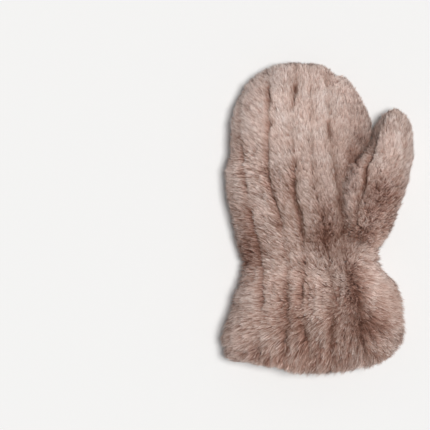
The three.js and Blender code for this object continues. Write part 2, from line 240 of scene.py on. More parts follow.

# %% [markdown]
# ## The grooves between the strips
#
# Where two strips are sewn together the pile parts, and from above one sees a dark line, dark from
# the groove's depth and from painted shade in the hair's tone. The lines are tables too: each row
# is a groove, from the left to the thumb's side, and each column says how far out it lies at one
# station, as a share of the half width there.

# %% Lines of the grooves
GROOVE_STATIONS = rows(
    "column y width",
    ("hem", -CUFF_LENGTH, CUFF_WIDTH),
    ("cuff", -0.4 * CUFF_LENGTH, CUFF_WIDTH),
    ("wrist", 0.0, WRIST_WIDTH),
    ("heel", 0.2 * HAND_LENGTH, HAND_WIDTH),
    ("palm", 0.32 * HAND_LENGTH, HAND_WIDTH),
    ("middle", 0.46 * HAND_LENGTH, HAND_WIDTH),
    ("fingers", 0.66 * HAND_LENGTH, HAND_WIDTH),
    ("tip", HAND_LENGTH, HAND_WIDTH),
)
PALM_GROOVES = rows(
    "hem cuff wrist heel palm middle fingers tip",
    (-0.62, -0.55, -0.74, -0.78, -0.83, -0.9, -0.94, -1.0),
    (-0.31, -0.28, -0.34, -0.4, -0.515, -0.59, -0.57, -0.61),
    (0.02, -0.1, -0.1, -0.135, -0.21, -0.215, -0.25, -0.2),
    (0.24, 0.26, 0.3, 0.17, 0.07, 0.03, 0.0, -0.04),
    (0.64, 0.57, 0.54, 0.48, 0.42, 0.34, 0.26, 0.23),
)
BACK_GROOVES = rows(
    "hem cuff wrist heel palm middle fingers tip",
    (-0.68, -0.64, -0.7, -0.72, -0.76, -0.79, -0.82, -0.86),
    (-0.34, -0.32, -0.36, -0.37, -0.4, -0.43, -0.47, -0.52),
    (0.0, 0.0, 0.0, -0.03, -0.06, -0.09, -0.12, -0.18),
    (0.34, 0.32, 0.34, 0.32, 0.3, 0.26, 0.22, 0.15),
    (0.68, 0.66, 0.68, 0.66, 0.64, 0.6, 0.56, 0.48),
)
THUMB_GROOVES = rows(
    "along inner outer",
    (0.0, -0.4, 0.6),
    (0.3, -0.3, 0.76),
    (0.45, -0.21, 0.74),
    (0.6, -0.33, 0.7),
    (0.77, -0.76, 0.6),
    (0.85, -0.84, 0.56),
    (1.0, -0.86, 0.5),
)
print("grooves:", len(PALM_GROOVES), "on the palm and", len(BACK_GROOVES), "on the back")

# %% The strips' edges
LEAST = 0.3
LEAST_TURN = 0.07


def strip_edges(grooves, y):
    """Angles of the strips' edges round the section at each y, from the thumb side."""
    x, _, half_width, _ = body_section(y)
    edges = [np.zeros_like(y)]
    for groove in reversed(grooves):
        places = [{"y": s["y"], "x": groove[s["column"]] * s["width"] / 2} for s in GROOVE_STATIONS]
        share = (column_at(places, "x", y, "y") - x) / np.maximum(half_width, LEAST)
        share = np.clip(share, -1, 1)
        edges.append(np.arccos(np.sign(share) * np.abs(share) ** (SQUARENESS / 2)))
    edges.append(np.full_like(y, np.pi))
    for i in range(1, len(edges)):
        edges[i] = np.maximum(edges[i], edges[i - 1] + LEAST_TURN)
    edges[-1] = np.full_like(y, np.pi)
    for i in range(len(edges) - 2, 0, -1):
        edges[i] = np.minimum(edges[i], edges[i + 1] - LEAST_TURN)
    return np.stack(edges, 1)


def place_in_strips(angle, edges):
    """Each angle's strip, the way across it, the strip's turn, and whether a side seam is next."""
    strip = np.sum(angle[..., None] >= edges[:, None, 1:-1], axis=2)
    first = np.take_along_axis(edges, strip, 1)
    turn = np.take_along_axis(edges, strip + 1, 1) - first
    across = (angle - first) / turn
    at_side = ((strip == 0) & (across < 0.5)) | ((strip == edges.shape[1] - 2) & (across > 0.5))
    return strip, across, turn, at_side


turns = np.degrees(np.diff(strip_edges(PALM_GROOVES, np.array([HAND_LENGTH / 2]))))
print("the palm's strips, in degrees round the hand:", np.round(turns[0]))

# %% [markdown]
# A groove isn't the same all along: closed where the hair of both strips meets over it, open
# where the hand bends. Each opening is one line: which groove, where, how far it reaches and how
# open it is. At 1 the pile falls to a round shoulder, and beyond 1 the groove gapes to a slit,
# dark from its depth and from the painted shade that its fall puts into the hair's tone.

# %% Where the grooves stand open
OPENINGS = rows(
    "groove y reach open",
    (0, 118, 14, 0.6),
    (0, 72, 24, 2.1),
    (0, 22, 20, 1.1),
    (1, 155, 10, 1.5),
    (1, 120, 16, 0.9),
    (1, 88, 8, 0.7),
    (1, 64, 20, 2.1),
    (2, 160, 8, 1.8),
    (2, 141, 5, 1.4),
    (2, 121, 9, 0.9),
    (2, 92, 10, 0.5),
    (2, 72, 8, 0.8),
    (2, 44, 24, 2.2),
    (3, 66, 24, 0.4),
    (3, 20, 20, 0.6),
    (4, 166, 7, 1.0),
    (4, 116, 6, 1.6),
    (4, 94, 14, 0.4),
    (4, 48, 24, 1.2),
    (0, -25, 24, 0.9),
    (1, -26, 12, 0.5),
    (1, -68, 22, 1.1),
    (2, -26, 12, 1.1),
    (2, -70, 22, 1.0),
    (3, -70, 30, 0.8),
    (4, -30, 20, 1.4),
    (4, -62, 16, 1.0),
)
LEAST_OPEN = 0.5


def openness(groove, y, wander):
    """How far each groove stands open at y: 1 is fully, and beyond that it gapes."""
    total = np.full(np.broadcast(groove, y).shape, LEAST_OPEN)
    for m in OPENINGS:
        near = np.exp(-(((y - m["y"]) / m["reach"]) ** 2))
        total += (groove == m["groove"]) * m["open"] * near
    return total * np.maximum(1 + wander, 0)


print("the second groove at y = 64 is open", round(float(openness(1, 64, 0)), 2))

# %% [markdown]
# Hair beside a groove knows three things about it. `fall_to_groove` shortens it, `parting_at`
# leans it away, and `room_to_lean` says how far it may lean back: across a closed groove hair of
# one strip lies over the other, and over an open one it doesn't, or the groove would be hidden.

# %% What a groove does to the pile
STRIP_ROUND = 24.0
SLIT = 1.3
MOST_PARTED = 1.6
PARTING_REACH = 2.6
CLEAR_WHEN_OPEN = 1.5
CROSSING = 8.0
NO_GROOVE = 99.0


def fall_to_groove(to_groove, opened):
    """How far the pile falls at a distance from a groove: a shoulder, and a slit if it gapes."""
    t = np.clip(to_groove / STRIP_ROUND, 0, 0.5)
    shoulder = 1 - np.sqrt(np.maximum(4 * t * (1 - t), 0))
    slit = np.exp(-((to_groove / SLIT) ** 2))
    return np.minimum(opened, 1) * shoulder + np.maximum(opened - 1, 0) * slit


def parting_at(to_groove, opened, across):
    """How strongly a groove parts the hair: above 0 at the end of a strip, below at its start."""
    strength = np.minimum(opened, MOST_PARTED) * np.exp(-to_groove / PARTING_REACH)
    return strength * np.where(across > 0.5, 1, -1)


def room_to_lean(tips, half_width, turn, to_groove, opened):
    """How far hair may lean towards its groove: past it if closed, only up to it if open."""
    step = np.linalg.norm(np.gradient(tips, axis=1), axis=2)
    stretch = step / np.maximum(half_width * turn, LEAST * turn)
    return to_groove * stretch + CROSSING * np.maximum(CLEAR_WHEN_OPEN - opened, 0)


print("a shoulder's fall 3 mm from its groove:", round(float(fall_to_groove(3.0, 1.0)), 2))

# %% [markdown]
# ## Dents and uneven ends
#
# The empty mitten sinks in where a palm would fill it, and the strips don't all end at the same
# place, so the finger end and the hem have small steps.

# %% Dents in the palm
DENTS = rows(
    "x y reach_x reach_y sink",
    (0.66, 0.57, 0.13, 0.15, 0.65),
    (0.56, 0.28, 0.1, 0.22, 1.05),
    (0.26, 0.1, 0.1, 0.07, 0.6),
    (0.5, -0.56, 0.12, 0.2, 0.8),
    (-0.28, -0.52, 0.1, 0.16, 0.45),
)


def dent_at(x, y):
    """How far the dents take the palm side down at x, y."""
    sink = np.zeros_like(x)
    for dent in DENTS:
        on_cuff = dent["y"] < 0
        width, length = (CUFF_WIDTH, CUFF_LENGTH) if on_cuff else (HAND_WIDTH, HAND_LENGTH)
        across = (x - dent["x"] * width / 2) / (dent["reach_x"] * width)
        along = (y - dent["y"] * length) / (dent["reach_y"] * length)
        sink += dent["sink"] * PILE * np.exp(-(across**2) - along**2)
    return sink


print("deepest dent:", round(max(dent["sink"] for dent in DENTS) * PILE, 1), "mm")

# %% Uneven ends of the strips
NICKS = rows(
    "x y reach_x reach_y move",
    (22, 172, 7, 10, -4.5),
    (46, 150, 15, 16, -2.5),
    (-33, -104, 11, 14, 3.0),
    (-56, -104, 14, 14, 4.0),
    (-84, -104, 14, 14, 6.0),
    (84, -104, 16, 18, 9.0),
)


def spots(table, key, x, y):
    """The sum of one column of a table at x, y, where each row is a soft oval spot."""
    total = np.zeros_like(x)
    for m in table:
        away = ((x - m["x"]) / m["reach_x"]) ** 2 + ((y - m["y"]) / m["reach_y"]) ** 2
        total += m[key] * np.exp(-away)
    return total


def nick_at(x, y):
    """How far the strips' uneven ends move the tips along the mitten at x, y."""
    return spots(NICKS, "move", x, y)


print(len(NICKS), "strip ends stand up to", max(abs(m["move"]) for m in NICKS), "mm off the curve")

# %% [markdown]
# Fur is never even, so the depth of a groove wanders along it, and whole patches of pile lie a
# little higher or darker than their neighbours. `patchy` makes such soft random patches: random
# numbers on a wide lattice, with a smooth blend between them. Its seed is fixed, so each run
# gives the same mitten.

# %% Soft random patches
LATTICE = 64
LATTICE_START = (7.3, 3.1)


def patchy(u, v, size, seed):
    """Soft random patches from -1 to 1, about size wide, at the places u, v."""
    lattice = np.random.default_rng(seed).uniform(-1, 1, (LATTICE, LATTICE))
    a, b = np.asarray(u) / size + LATTICE_START[0], np.asarray(v) / size + LATTICE_START[1]
    i, j = np.floor(a).astype(int), np.floor(b).astype(int)
    s, t = a - i, b - j
    s, t = s * s * (3 - 2 * s), t * t * (3 - 2 * t)

    def corner(di, dj):
        return lattice[(i + di) % LATTICE, (j + dj) % LATTICE]

    low = corner(0, 0) * (1 - s) + corner(1, 0) * s
    high = corner(0, 1) * (1 - s) + corner(1, 1) * s
    return low * (1 - t) + high * t


print("patches along a line:", np.round(patchy(np.arange(0, 40, 10.0), 0, 9, 1), 2))

# %% [markdown]
# ## Grids of the backing and of the pile's tips
#
# The pile fills the space between two skins: the backing, a smooth flattened tube, and the
# surface of the tips, which has the strips, the grooves, the gathers and the dents. Both are made
# as grids with the same rows and columns, so one pair of numbers names a root on the backing and
# the tip above it.
#
# A `Skin` holds both grids of one side, with what the combing needs later: how far each place is
# from its groove, the grid's own steps in millimetres, and a `sample` that reads a grid between
# its points.

# %% A skin: two grids and what lies between them
DEEPEST = 0.72 * PILE
LEAST_STEP = 0.05
JUST_SHORT = 1.001
TINY = 1e-9


def unit(vectors):
    """Vectors drawn out or in to a length of 1."""
    return vectors / np.maximum(np.linalg.norm(vectors, axis=-1), TINY)[..., None]


class Skin:
    """Backing and tips of one side of the fur, on a shared grid of rows along and columns round.

    upper is true for the sides that face up. fall is how much shorter the pile is in the grooves
    and dents, shade is the part of it that is painted into the hair's tone as shade, parting is how
    strongly the nearest groove parts the hair, less than 0 on the groove's left, and room is how
    far the hair may lean towards that groove.
    """

    def __init__(self, upper, roots, tips, fall, shade, parting, room):
        self.upper, self.roots, self.tips = upper, roots, tips
        self.parting, self.room = parting, room
        self.fall, self.shade = np.clip(fall, 0, DEEPEST), np.clip(shade, 0, DEEPEST)
        along, across = np.gradient(tips, axis=0), np.gradient(tips, axis=1)
        self.row_step = np.maximum(np.linalg.norm(along, axis=2), LEAST_STEP)
        self.column_step = np.maximum(np.linalg.norm(across, axis=2), LEAST_STEP)
        self.along = along / self.row_step[..., None]
        self.across = across / self.column_step[..., None]
        self.normal = unit(tips - roots)
        self.shape = self.fall.shape

    def sample(self, grid, r, c):
        """A grid's values at rows r and columns c, which may lie between its points."""
        r = np.clip(r, 0, self.shape[0] - JUST_SHORT)
        c = np.clip(c, 0, self.shape[1] - JUST_SHORT)
        i, j = r.astype(int), c.astype(int)
        s, t = r - i, c - j
        if grid.ndim == 3:
            s, t = s[:, None], t[:, None]
        near = grid[i, j] * (1 - s) + grid[i + 1, j] * s
        far = grid[i, j + 1] * (1 - s) + grid[i + 1, j + 1] * s
        return near * (1 - t) + far * t

    def lift(self, r, c, share):
        """Points a share of the way up from the backing to the tips."""
        low, high = self.sample(self.roots, r, c), self.sample(self.tips, r, c)
        return low + (high - low) * share[:, None]


def grid_of(x, y, z):
    """One grid of points from their three coordinates."""
    return np.stack(np.broadcast_arrays(x, y, z), 2)


def squared(c, squareness=SQUARENESS):
    """A number from -1 to 1 bent so that a circle becomes the mitten's squarer section."""
    return np.sign(c) * np.abs(c) ** (2 / squareness)


def tube(x, y, z, half_width, half_height, c, s):
    """A grid of points round the section at each row, from `squared` cosines and sines."""
    return grid_of(x + half_width * c, y, z + half_height * s)


print("the pile is shortened by", round(DEEPEST, 1), "mm at most")

# %% [markdown]
# Hand and cuff share one grid, so nothing can tear at the wrist. Its rows crowd together where
# the hem rolls in and where the finger end closes, because a curve needs more rows than a
# straight part. At the wrist an elastic draws the cloth in, and each strip gathers into small
# waves.

# %% The rows of the hand and cuff
GRID_STEP = 0.8
HEM_ROUND = 10.0
HEM_ROWS = 14
DOME_ROWS = 90
DOME_Y = DOME_START * HAND_LENGTH


def body_rows():
    """Places of the grid's rows along the hand and cuff, each with how far the hem rolls it in."""
    turn = np.linspace(0, np.pi / 2, HEM_ROWS, endpoint=False)
    rim = -CUFF_LENGTH + HEM_ROUND * (1 - np.cos(turn))
    straight = np.arange(-CUFF_LENGTH + HEM_ROUND, DOME_Y, GRID_STEP)
    dome = DOME_Y + (HAND_LENGTH - DOME_Y) * np.sin(np.linspace(0, np.pi / 2, DOME_ROWS))
    y = np.concatenate([rim, straight, dome])
    rolled = np.concatenate([HEM_ROUND * (1 - np.sin(turn)), np.zeros(len(straight) + len(dome))])
    return y, rolled


print(len(body_rows()[0]), "rows along the hand and cuff")

# %% The roots of the hand and cuff
HEM_BOW = 9.0
HEM_ROOTS_IN = 0.9 * PILE


def wave(turns):
    """A smooth wave that starts at 0 and is 1 after half a turn."""
    return 0.5 - 0.5 * np.cos(2 * np.pi * turns)


def body_roots(y, c, s, hem_share):
    """The grid of roots under the palm or the back: a smooth tube, shorter at both ends."""
    x, z, half_width, half_height = body_section(y)
    shorter = (HAND_LENGTH - PILE - DOME_Y) / (HAND_LENGTH - DOME_Y)
    root_y = np.where(y > DOME_Y, DOME_Y + (y - DOME_Y) * shorter, y)
    root_y = root_y + (HEM_BOW * c * c + HEM_ROOTS_IN) * hem_share
    width = np.maximum(half_width - PILE, LEAST)
    height = np.maximum(half_height - PILE, LEAST)
    return tube(x, root_y, z, width, height, c, s)


print("the roots end", HEM_ROOTS_IN, "mm inside the hem and", PILE, "mm short of the tips")

# %% The palm side and the back
COLUMNS = 260
GROOVE_DEPTH = 6.0
SIDE_SEAM_DEPTH = 2.0
NARROW_STRIP = 15.0
GROOVE_CHANGE = 0.8
CHANGE_SIZE = 9
GROOVES_APART = 40.0
BACK_OPEN = 0.7
BACK_CHANGE = 0.5
GATHER_DEPTH = 2.2
GATHER_REACH = 22.0
GATHERS_PER_STRIP = 2
DENT_SHADE = 0.3
HEM_REACH = 35.0
PALM_SEED = 11
BACK_SEED = 12


def body_skin(grooves, upper, seed):
    """The palm side or the back of the hand and cuff."""
    y, rolled = body_rows()
    edges = strip_edges(grooves, y)
    y, rolled = y[:, None], rolled[:, None]
    x0, z0, half_width, half_height = body_section(y)
    angle = np.linspace(0, np.pi, COLUMNS)[None, :]
    strip, across, turn, at_side = place_in_strips(angle, edges)
    strip_width = half_width * turn
    to_groove = np.minimum(across, 1 - across) * strip_width
    groove = len(grooves) - strip - (across > 0.5)
    wander = GROOVE_CHANGE * patchy(y + 0 * angle, groove * GROOVES_APART, CHANGE_SIZE, seed)
    opened = openness(groove, y, wander) if upper else BACK_OPEN + BACK_CHANGE * wander

    shallow = np.minimum(np.minimum(strip_width / NARROW_STRIP, half_height / WALL), 1)
    from_hem = 1 - np.exp(-(((y + CUFF_LENGTH) / HEM_ROUND) ** 2))
    depth = np.where(at_side, SIDE_SEAM_DEPTH, GROOVE_DEPTH * from_hem)
    grooved = shallow * depth * fall_to_groove(to_groove, opened)

    c, s = squared(np.cos(angle)), squared(np.sin(angle)) * (1 if upper else -1)
    near_wrist = np.exp(-((y / GATHER_REACH) ** 2))
    gather = GATHER_DEPTH * near_wrist * wave(GATHERS_PER_STRIP * across)
    x = x0 + np.maximum(half_width - gather - rolled, LEAST) * c
    z = z0 + np.maximum(half_height - gather - rolled, LEAST) * s
    hem_share = np.maximum(1 - (y + CUFF_LENGTH) / HEM_REACH, 0)
    tip_y = y + HEM_BOW * c * c * hem_share
    dented = dent_at(x, tip_y) * s * s if upper else 0 * x
    tips = grid_of(x, tip_y + nick_at(x, tip_y), np.maximum(z, 0.0))
    roots = body_roots(y, c, s, hem_share)
    parting = np.where(at_side, 0, parting_at(to_groove, opened, across))
    room = room_to_lean(tips, half_width, np.pi / COLUMNS, to_groove, opened)
    room = np.where(at_side, NO_GROOVE, room)
    # The shade grid is painted into the hair's tone: the grooves' fall and a share of the dents'.
    return Skin(upper, roots, tips, grooved + dented, grooved + DENT_SHADE * dented, parting, room)


palm_skin = body_skin(PALM_GROOVES, True, PALM_SEED)
back_skin = body_skin(BACK_GROOVES, False, BACK_SEED)
print("the palm's grid:", palm_skin.shape, "points, its pile falls", round(palm_skin.fall.max(), 1))

# %% [markdown]
# The thumb is a tube of its own, with three strips on each side. The groove between the first two
# is the one that the photograph shows best: it runs up from the web and gapes in its middle.

# %% The thumb's front and back
THUMB_ROWS = 130
THUMB_TIP_ROWS = 50
THUMB_COLUMNS = 150
THUMB_SQUARENESS = 2.4
THUMB_LEAST_OPEN = 0.55
THUMB_OPEN = 0.54
THUMB_OPEN_REACH = 0.2
THUMB_GAPE = 1.5


def thumb_skin(upper):
    """The front or the back of the thumb."""
    tip = THUMB_DOME + (1 - THUMB_DOME) * np.sin(np.linspace(0, np.pi / 2, THUMB_TIP_ROWS))
    share = np.concatenate([np.linspace(0, THUMB_DOME, THUMB_ROWS, endpoint=False), tip])
    inner, outer = (column_at(THUMB_GROOVES, key, share) for key in ("inner", "outer"))
    edges = np.arccos(np.stack([1 + 0 * share, outer, inner, -1 + 0 * share], 1))
    share = share[:, None]
    x, y, z, half_width, half_height = thumb_section(share)
    angle = np.linspace(0, np.pi, THUMB_COLUMNS)[None, :] + 0 * y
    strip, across, turn, at_side = place_in_strips(angle, edges)
    to_groove = np.minimum(across, 1 - across) * np.maximum(half_width, LEAST) * turn
    at_inner = ((strip == 1) & (across > 0.5)) | ((strip == 2) & (across < 0.5))
    gape = np.exp(-(((share - THUMB_OPEN) / THUMB_OPEN_REACH) ** 2))
    opened = THUMB_LEAST_OPEN + np.where(at_inner & upper, THUMB_GAPE * gape, 0)
    thick = np.minimum(half_height / (THUMB_HEIGHT / 2), 1)
    fall = np.where(at_side, 0, thick * GROOVE_DEPTH * fall_to_groove(to_groove, opened))

    c = squared(np.cos(angle), THUMB_SQUARENESS)
    s = squared(np.sin(angle), THUMB_SQUARENESS) * (1 if upper else -1)
    tips = tube(x, y, z, half_width, half_height, c, s)
    tips[..., 2] = np.maximum(tips[..., 2], 0.0)
    middle = THUMB_ROOT[1] + THUMB_LENGTH / 2
    root_y = y - PILE * np.maximum(y - middle, 0) / (THUMB_LENGTH / 2)
    width = np.maximum(half_width - PILE, LEAST)
    height = np.maximum(half_height - PILE, LEAST)
    roots = tube(x, root_y, z, width, height, c, s)
    parting = np.where(at_side, 0, parting_at(to_groove, opened, across))
    room = room_to_lean(tips, half_width, np.pi / THUMB_COLUMNS, to_groove, opened)
    return Skin(upper, roots, tips, fall, fall, parting, np.where(at_side, NO_GROOVE, room))


front_skin = thumb_skin(True)
rear_skin = thumb_skin(False)
skins = (palm_skin, back_skin, front_skin, rear_skin)
forms = np.concatenate([skin.tips.reshape(-1, 3) for skin in skins])
shift = np.array([-(forms[:, 0].min() + forms[:, 0].max()) / 2, WRIST_Y, 0.0])
print("the tips' box:", np.round(forms.min(0) + shift, 1), np.round(forms.max(0) + shift, 1))

# %% [markdown]
# Where the thumb is sewn to the palm, one form sinks into the other. Hair that would start inside
# the neighbour is left out, so the two piles meet in a crease and don't grow through each other.

# %% What lies inside the neighbour
THUMB_CREASE = 19.0
CREASE_FALL = 11.0
CREASE_FALL_OVER = 10
CREASE_WANDER = 3.0
CREASE_PATCH = 5
CREASE_SEED = 6


def crease_y(p):
    """Where the thumb's base meets the palm, a ragged line that falls towards the outer side."""
    outward = np.clip((p[:, 0] - THUMB_ROOT[0]) / CREASE_FALL_OVER, 0, 1)
    ragged = CREASE_WANDER * patchy(p[:, 0], p[:, 2], CREASE_PATCH, CREASE_SEED)
    return THUMB_CREASE - CREASE_FALL * outward + ragged


def within(across, up, half_width, half_height, squareness, margin):
    """Whether points, seen from a section's middle, lie a margin or more under its surface."""
    across = np.abs(across) / np.maximum(half_width - margin, LEAST)
    up = np.abs(up) / np.maximum(half_height - margin, LEAST)
    return across**squareness + up**squareness < 1


def inside_body(p, margin):
    """Whether points lie in the hand or cuff, a margin or more under its surface."""
    x, z, *half = body_section(p[:, 1])
    up = p[:, 2] + dent_at(p[:, 0], p[:, 1]) - z
    return within(p[:, 0] - x, up, *half, SQUARENESS, margin)


def inside_thumb(p, margin):
    """Whether points lie in the thumb, a margin or more under its surface, beyond its base."""
    share = (p[:, 1] - THUMB_ROOT[1]) / THUMB_LENGTH
    x, _, z, *half = thumb_section(np.clip(share, 0, 1))
    inside = within(p[:, 0] - x, p[:, 2] - z, *half, THUMB_SQUARENESS, margin)
    return inside & (p[:, 1] > crease_y(p)) & (share < 1)


sunk = inside_body(front_skin.tips.reshape(-1, 3), 0)
print(round(100 * sunk.mean()), "% of the thumb's front lies inside the hand")

# %% How near the neighbour is
NEAR_STEPS = (2, 4, 6, 8)
OUTER_BASE_X = 50
OUTER_BASE_FADE_X = 12
OUTER_BASE_Y = 38
OUTER_BASE_FADE_Y = 14


def nearness(neighbour, p):
    """How near the neighbour is: 1 beside it, 0 from 8 mm away and at the thumb's outer base."""
    near = sum(neighbour(p, -step).astype(float) for step in NEAR_STEPS) / len(NEAR_STEPS)
    outward = np.clip((p[:, 0] - OUTER_BASE_X) / OUTER_BASE_FADE_X, 0, 1)
    low = np.clip((OUTER_BASE_Y - p[:, 1]) / OUTER_BASE_FADE_Y, 0, 1)
    return near * (1 - outward * low)


print("seams are shaded over", NEAR_STEPS[-1], "mm")

# %% [markdown]
# ## Combing
#
# The lie of the pile is what makes this mitten recognisable: it runs up along the finger tips,
# leans out to the left in the lower palm, fans out round the hem and points out on the thumb side
# of the cuff. A comb mark says, at one place, how far the tips lean from their roots, in
# millimetres. Between the marks the lean is a blend, weighted by nearness.

# %% Comb marks of the palm
PALM_COMB = rows(
    "x y lean_x lean_y",
    (-14, 168, 0.0, 5.0),
    (-42, 154, -2.5, 4.5),
    (25, 160, 1.0, 5.0),
    (-65, 130, -4.5, 3.0),
    (-48, 103, -3.8, 4.2),
    (-22, 103, -2.8, 4.8),
    (0, 131, -0.6, 5.4),
    (32, 140, -0.4, 5.4),
    (40, 100, 0.0, 5.2),
    (9, 84, -1.6, 5.2),
    (-66, 70, -5.6, 0.8),
    (-65, 28, -5.6, -1.5),
    (-50, 47, -4.4, 4.0),
    (-23, 56, -3.8, 4.8),
    (0, 42, -3.0, 4.4),
    (22, 50, -1.6, 4.8),
    (-35, 20, -4.6, 4.0),
    (18, 8, -1.5, 3.0),
    (34, 18, 0.2, 4.8),
    (57, -1, 4.0, 0.6),
    (-61, -4, -5.0, 0.5),
    (-56, -27, -6.0, 0.4),
    (-33, -23, -5.0, 3.4),
    (-8, -22, -4.0, 3.0),
    (12, -12, -3.2, 3.6),
    (30, -12, -1.6, 3.8),
    (10, -38, -4.6, 0.4),
    (28, -28, -4.2, 0.8),
    (29, -46, -3.8, -2.2),
    (43, -30, -0.6, -3.8),
    (42, -56, -0.6, -5.0),
    (25, -64, -3.0, -4.6),
    (8, -64, -3.2, -4.4),
    (60, -24, 5.4, 0.6),
    (74, -44, 6.0, -0.8),
    (60, -62, 3.8, -3.6),
    (-10, -52, -4.6, -1.8),
    (-45, -52, -5.4, 1.0),
    (-73, -69, -6.0, -3.0),
    (-37, -82, -4.0, -6.4),
    (0, -86, -3.2, -7.6),
    (37, -82, -1.0, -7.6),
    (70, -76, 4.6, -6.0),
)
print(len(PALM_COMB), "comb marks on the palm")

# %% Comb marks of the thumb and the back
THUMB_COMB = rows(
    "x y lean_x lean_y",
    (76, 138, 0.0, 5.0),
    (65, 129, -1.0, 4.6),
    (87, 123, 1.6, 4.6),
    (58, 98, -1.6, 4.8),
    (76, 94, -2.6, 4.8),
    (88, 89, 1.0, 5.0),
    (38, 60, 0.5, 4.8),
    (57, 66, -1.8, 4.6),
    (70, 62, -1.4, 4.4),
    (84, 58, 1.2, 4.8),
    (36, 32, -0.8, 3.8),
    (42, 18, -1.4, -2.6),
    (56, 30, -2.8, 2.4),
    (58, 14, 1.6, -3.4),
    (72, 38, 3.0, 3.0),
    (72, 22, 4.6, -0.6),
    (66, 10, 4.2, -2.4),
)
BACK_COMB = rows(
    "x y lean_x lean_y",
    (-8, 175, 0.0, 4.4),
    (-60, 110, -3.8, 3.2),
    (0, 110, 0.0, 4.8),
    (45, 110, 2.8, 3.8),
    (-60, 40, -4.6, 1.5),
    (0, 40, 0.5, 4.5),
    (50, 30, 3.6, 2.5),
    (-50, -20, -5.0, 0.5),
    (0, -20, 0.0, -3.5),
    (55, -20, 5.0, 0.5),
    (-65, -75, -5.0, -5.0),
    (0, -85, 1.0, -8.0),
    (65, -75, 5.0, -5.0),
)
print(len(THUMB_COMB), "comb marks on the thumb and", len(BACK_COMB), "on the back")

# %% The lean between the marks
COMB_REACH = 15.0


def combed(marks, p):
    """Lean in x and y at the points p, as a blend of the comb marks near them."""
    total = np.zeros(len(p))
    lean = np.zeros((len(p), 2))
    for m in marks:
        away = (p[:, 0] - m["x"]) ** 2 + (p[:, 1] - m["y"]) ** 2
        near = np.exp(-away / COMB_REACH**2) + TINY
        lean += near[:, None] * np.array([m["lean_x"], m["lean_y"]])
        total += near
    return lean / total[:, None]


print("the lean in mid-palm:", np.round(combed(PALM_COMB, np.array([[0.0, 60.0, 0.0]]))[0], 1))

# %% [markdown]
# Handled fur opens here and there, and where it does one looks down between the locks to the
# hair's brown underside. Those places are few and sit where the mitten bends: in the hollow of
# the wrist, at the thumb's heel, in the fold of the cuff. Each is one line: a place, how far it
# reaches, how much it changes the tone, how far the locks stand open there, and how much more
# ruffled, or smoother, its hair is than the rest. Not every change of tone is the fur's own: the
# three broadest rows paint light on the finger end and shade over the lower hand and the cuff, two
# rows paint a little shade into the crease between palm and thumb, and two at the web paint light
# into the shade beside the thumb.

# %% Darker, paler and open places
PLACES = rows(
    "x y reach_x reach_y change open ruffle",
    # Painted light on the finger end, then painted shade over the lower hand and the cuff.
    (-5, 150, 80, 45, 0.12, 0, 0.0),
    (-10, 22, 70, 42, -0.2, 0, 0.5),
    (0, -75, 110, 40, -0.215, 0, 0.5),
    (-66, 70, 12, 60, -0.14, 0, 0.8),
    (-40, 60, 26, 38, -0.04, 0, 1.0),
    (38, 115, 18, 34, -0.03, 0, -0.55),
    (15, 19, 10, 16, -0.21, 1.0, 0.5),
    (19, 44, 8, 12, -0.1, 0.4, 0.3),
    (-27, 67, 10, 15, -0.2, 0.3, 0.4),
    (30, 52, 8, 20, 0.08, 0, -0.5),
    # Painted shade, a little, in the crease between palm and thumb.
    (47, 108, 5, 8, -0.02, 0.9, 0.2),
    (40, 94, 5, 8, -0.02, 0.9, 0.2),
    # Painted light at the web, lifting the shade beside the thumb.
    (33, 72, 9, 15, 0.14, 0.2, 0.6),
    (38, 80, 8, 18, 0.2, 0.2, 0.9),
    (66, 60, 17, 15, -0.08, 0.9, 1.1),
    (56, 48, 12, 14, -0.04, 0.6, 0.5),
    (76, 100, 14, 26, 0.03, 0, -0.2),
    (73, 120, 8, 3, -0.14, 0.4, 0.2),
    (87, 117, 7, 3, -0.1, 0.2, 0.2),
    (84, 130, 14, 12, -0.06, 0, 0.1),
    (72, 34, 14, 12, -0.09, 0.4, 0.3),
    (46, 24, 12, 8, -0.18, 0.9, 0.4),
    (58, -8, 12, 16, 0.08, 0, -0.5),
    (42, -28, 7, 18, -0.22, 1.0, 0.3),
    (54, -58, 16, 12, -0.14, 1.0, 0.3),
    (4, -55, 26, 22, -0.08, 0, 0.1),
    (-18, -48, 10, 22, -0.1, 0.4, 0.2),
    (-56, 10, 9, 24, -0.22, 1.0, 0.5),
    (-44, 4, 20, 13, -0.12, 0.2, 0.3),
    (80, -30, 14, 24, -0.07, 0, -1.0),
    (-52, -81, 4, 8, -0.03, 0.8, 0.3),
    (-38, -90, 4, 8, -0.05, 0.9, 0.3),
    (-21, -85, 4, 8, -0.03, 0.8, 0.3),
    (-6, -78, 4, 8, -0.03, 0.8, 0.3),
    (10, -83, 4, 8, -0.05, 0.9, 0.3),
    (22, -74, 4, 8, -0.03, 0.8, 0.3),
    (34, -86, 4, 8, -0.05, 0.9, 0.3),
)


def place_at(p, key):
    """What one column of the places adds up to at the points p."""
    return spots(PLACES, key, p[:, 0], p[:, 1])


print(len(PLACES), "places,", sum(m["open"] > 0 for m in PLACES), "of them open")

# %% [markdown]
# ## Growing the hair
#
# Hair doesn't stand singly. A few hairs cling together in a wisp, some wisps lean together into a
# lock, whose tips meet and whose roots spread, and neighbouring locks lean to the middle of a
# tuft. That gives fur its grain: fine streaks inside larger, pointed shapes. So the locks are
# placed first, evenly by area, then the wisps in each lock, and each blade starts near its wisp's
# middle and is drawn in towards the tip. A blade is two thin triangles: it rises from the
# backing, bends over and ends in a point.
#
# Blender's own hair would look much the same in a render, but it has no mesh, and this mitten's
# form has to stay with it wherever it is used. Blades of mesh do.

# %% Tufts
TUFT_SIZE = 6.5


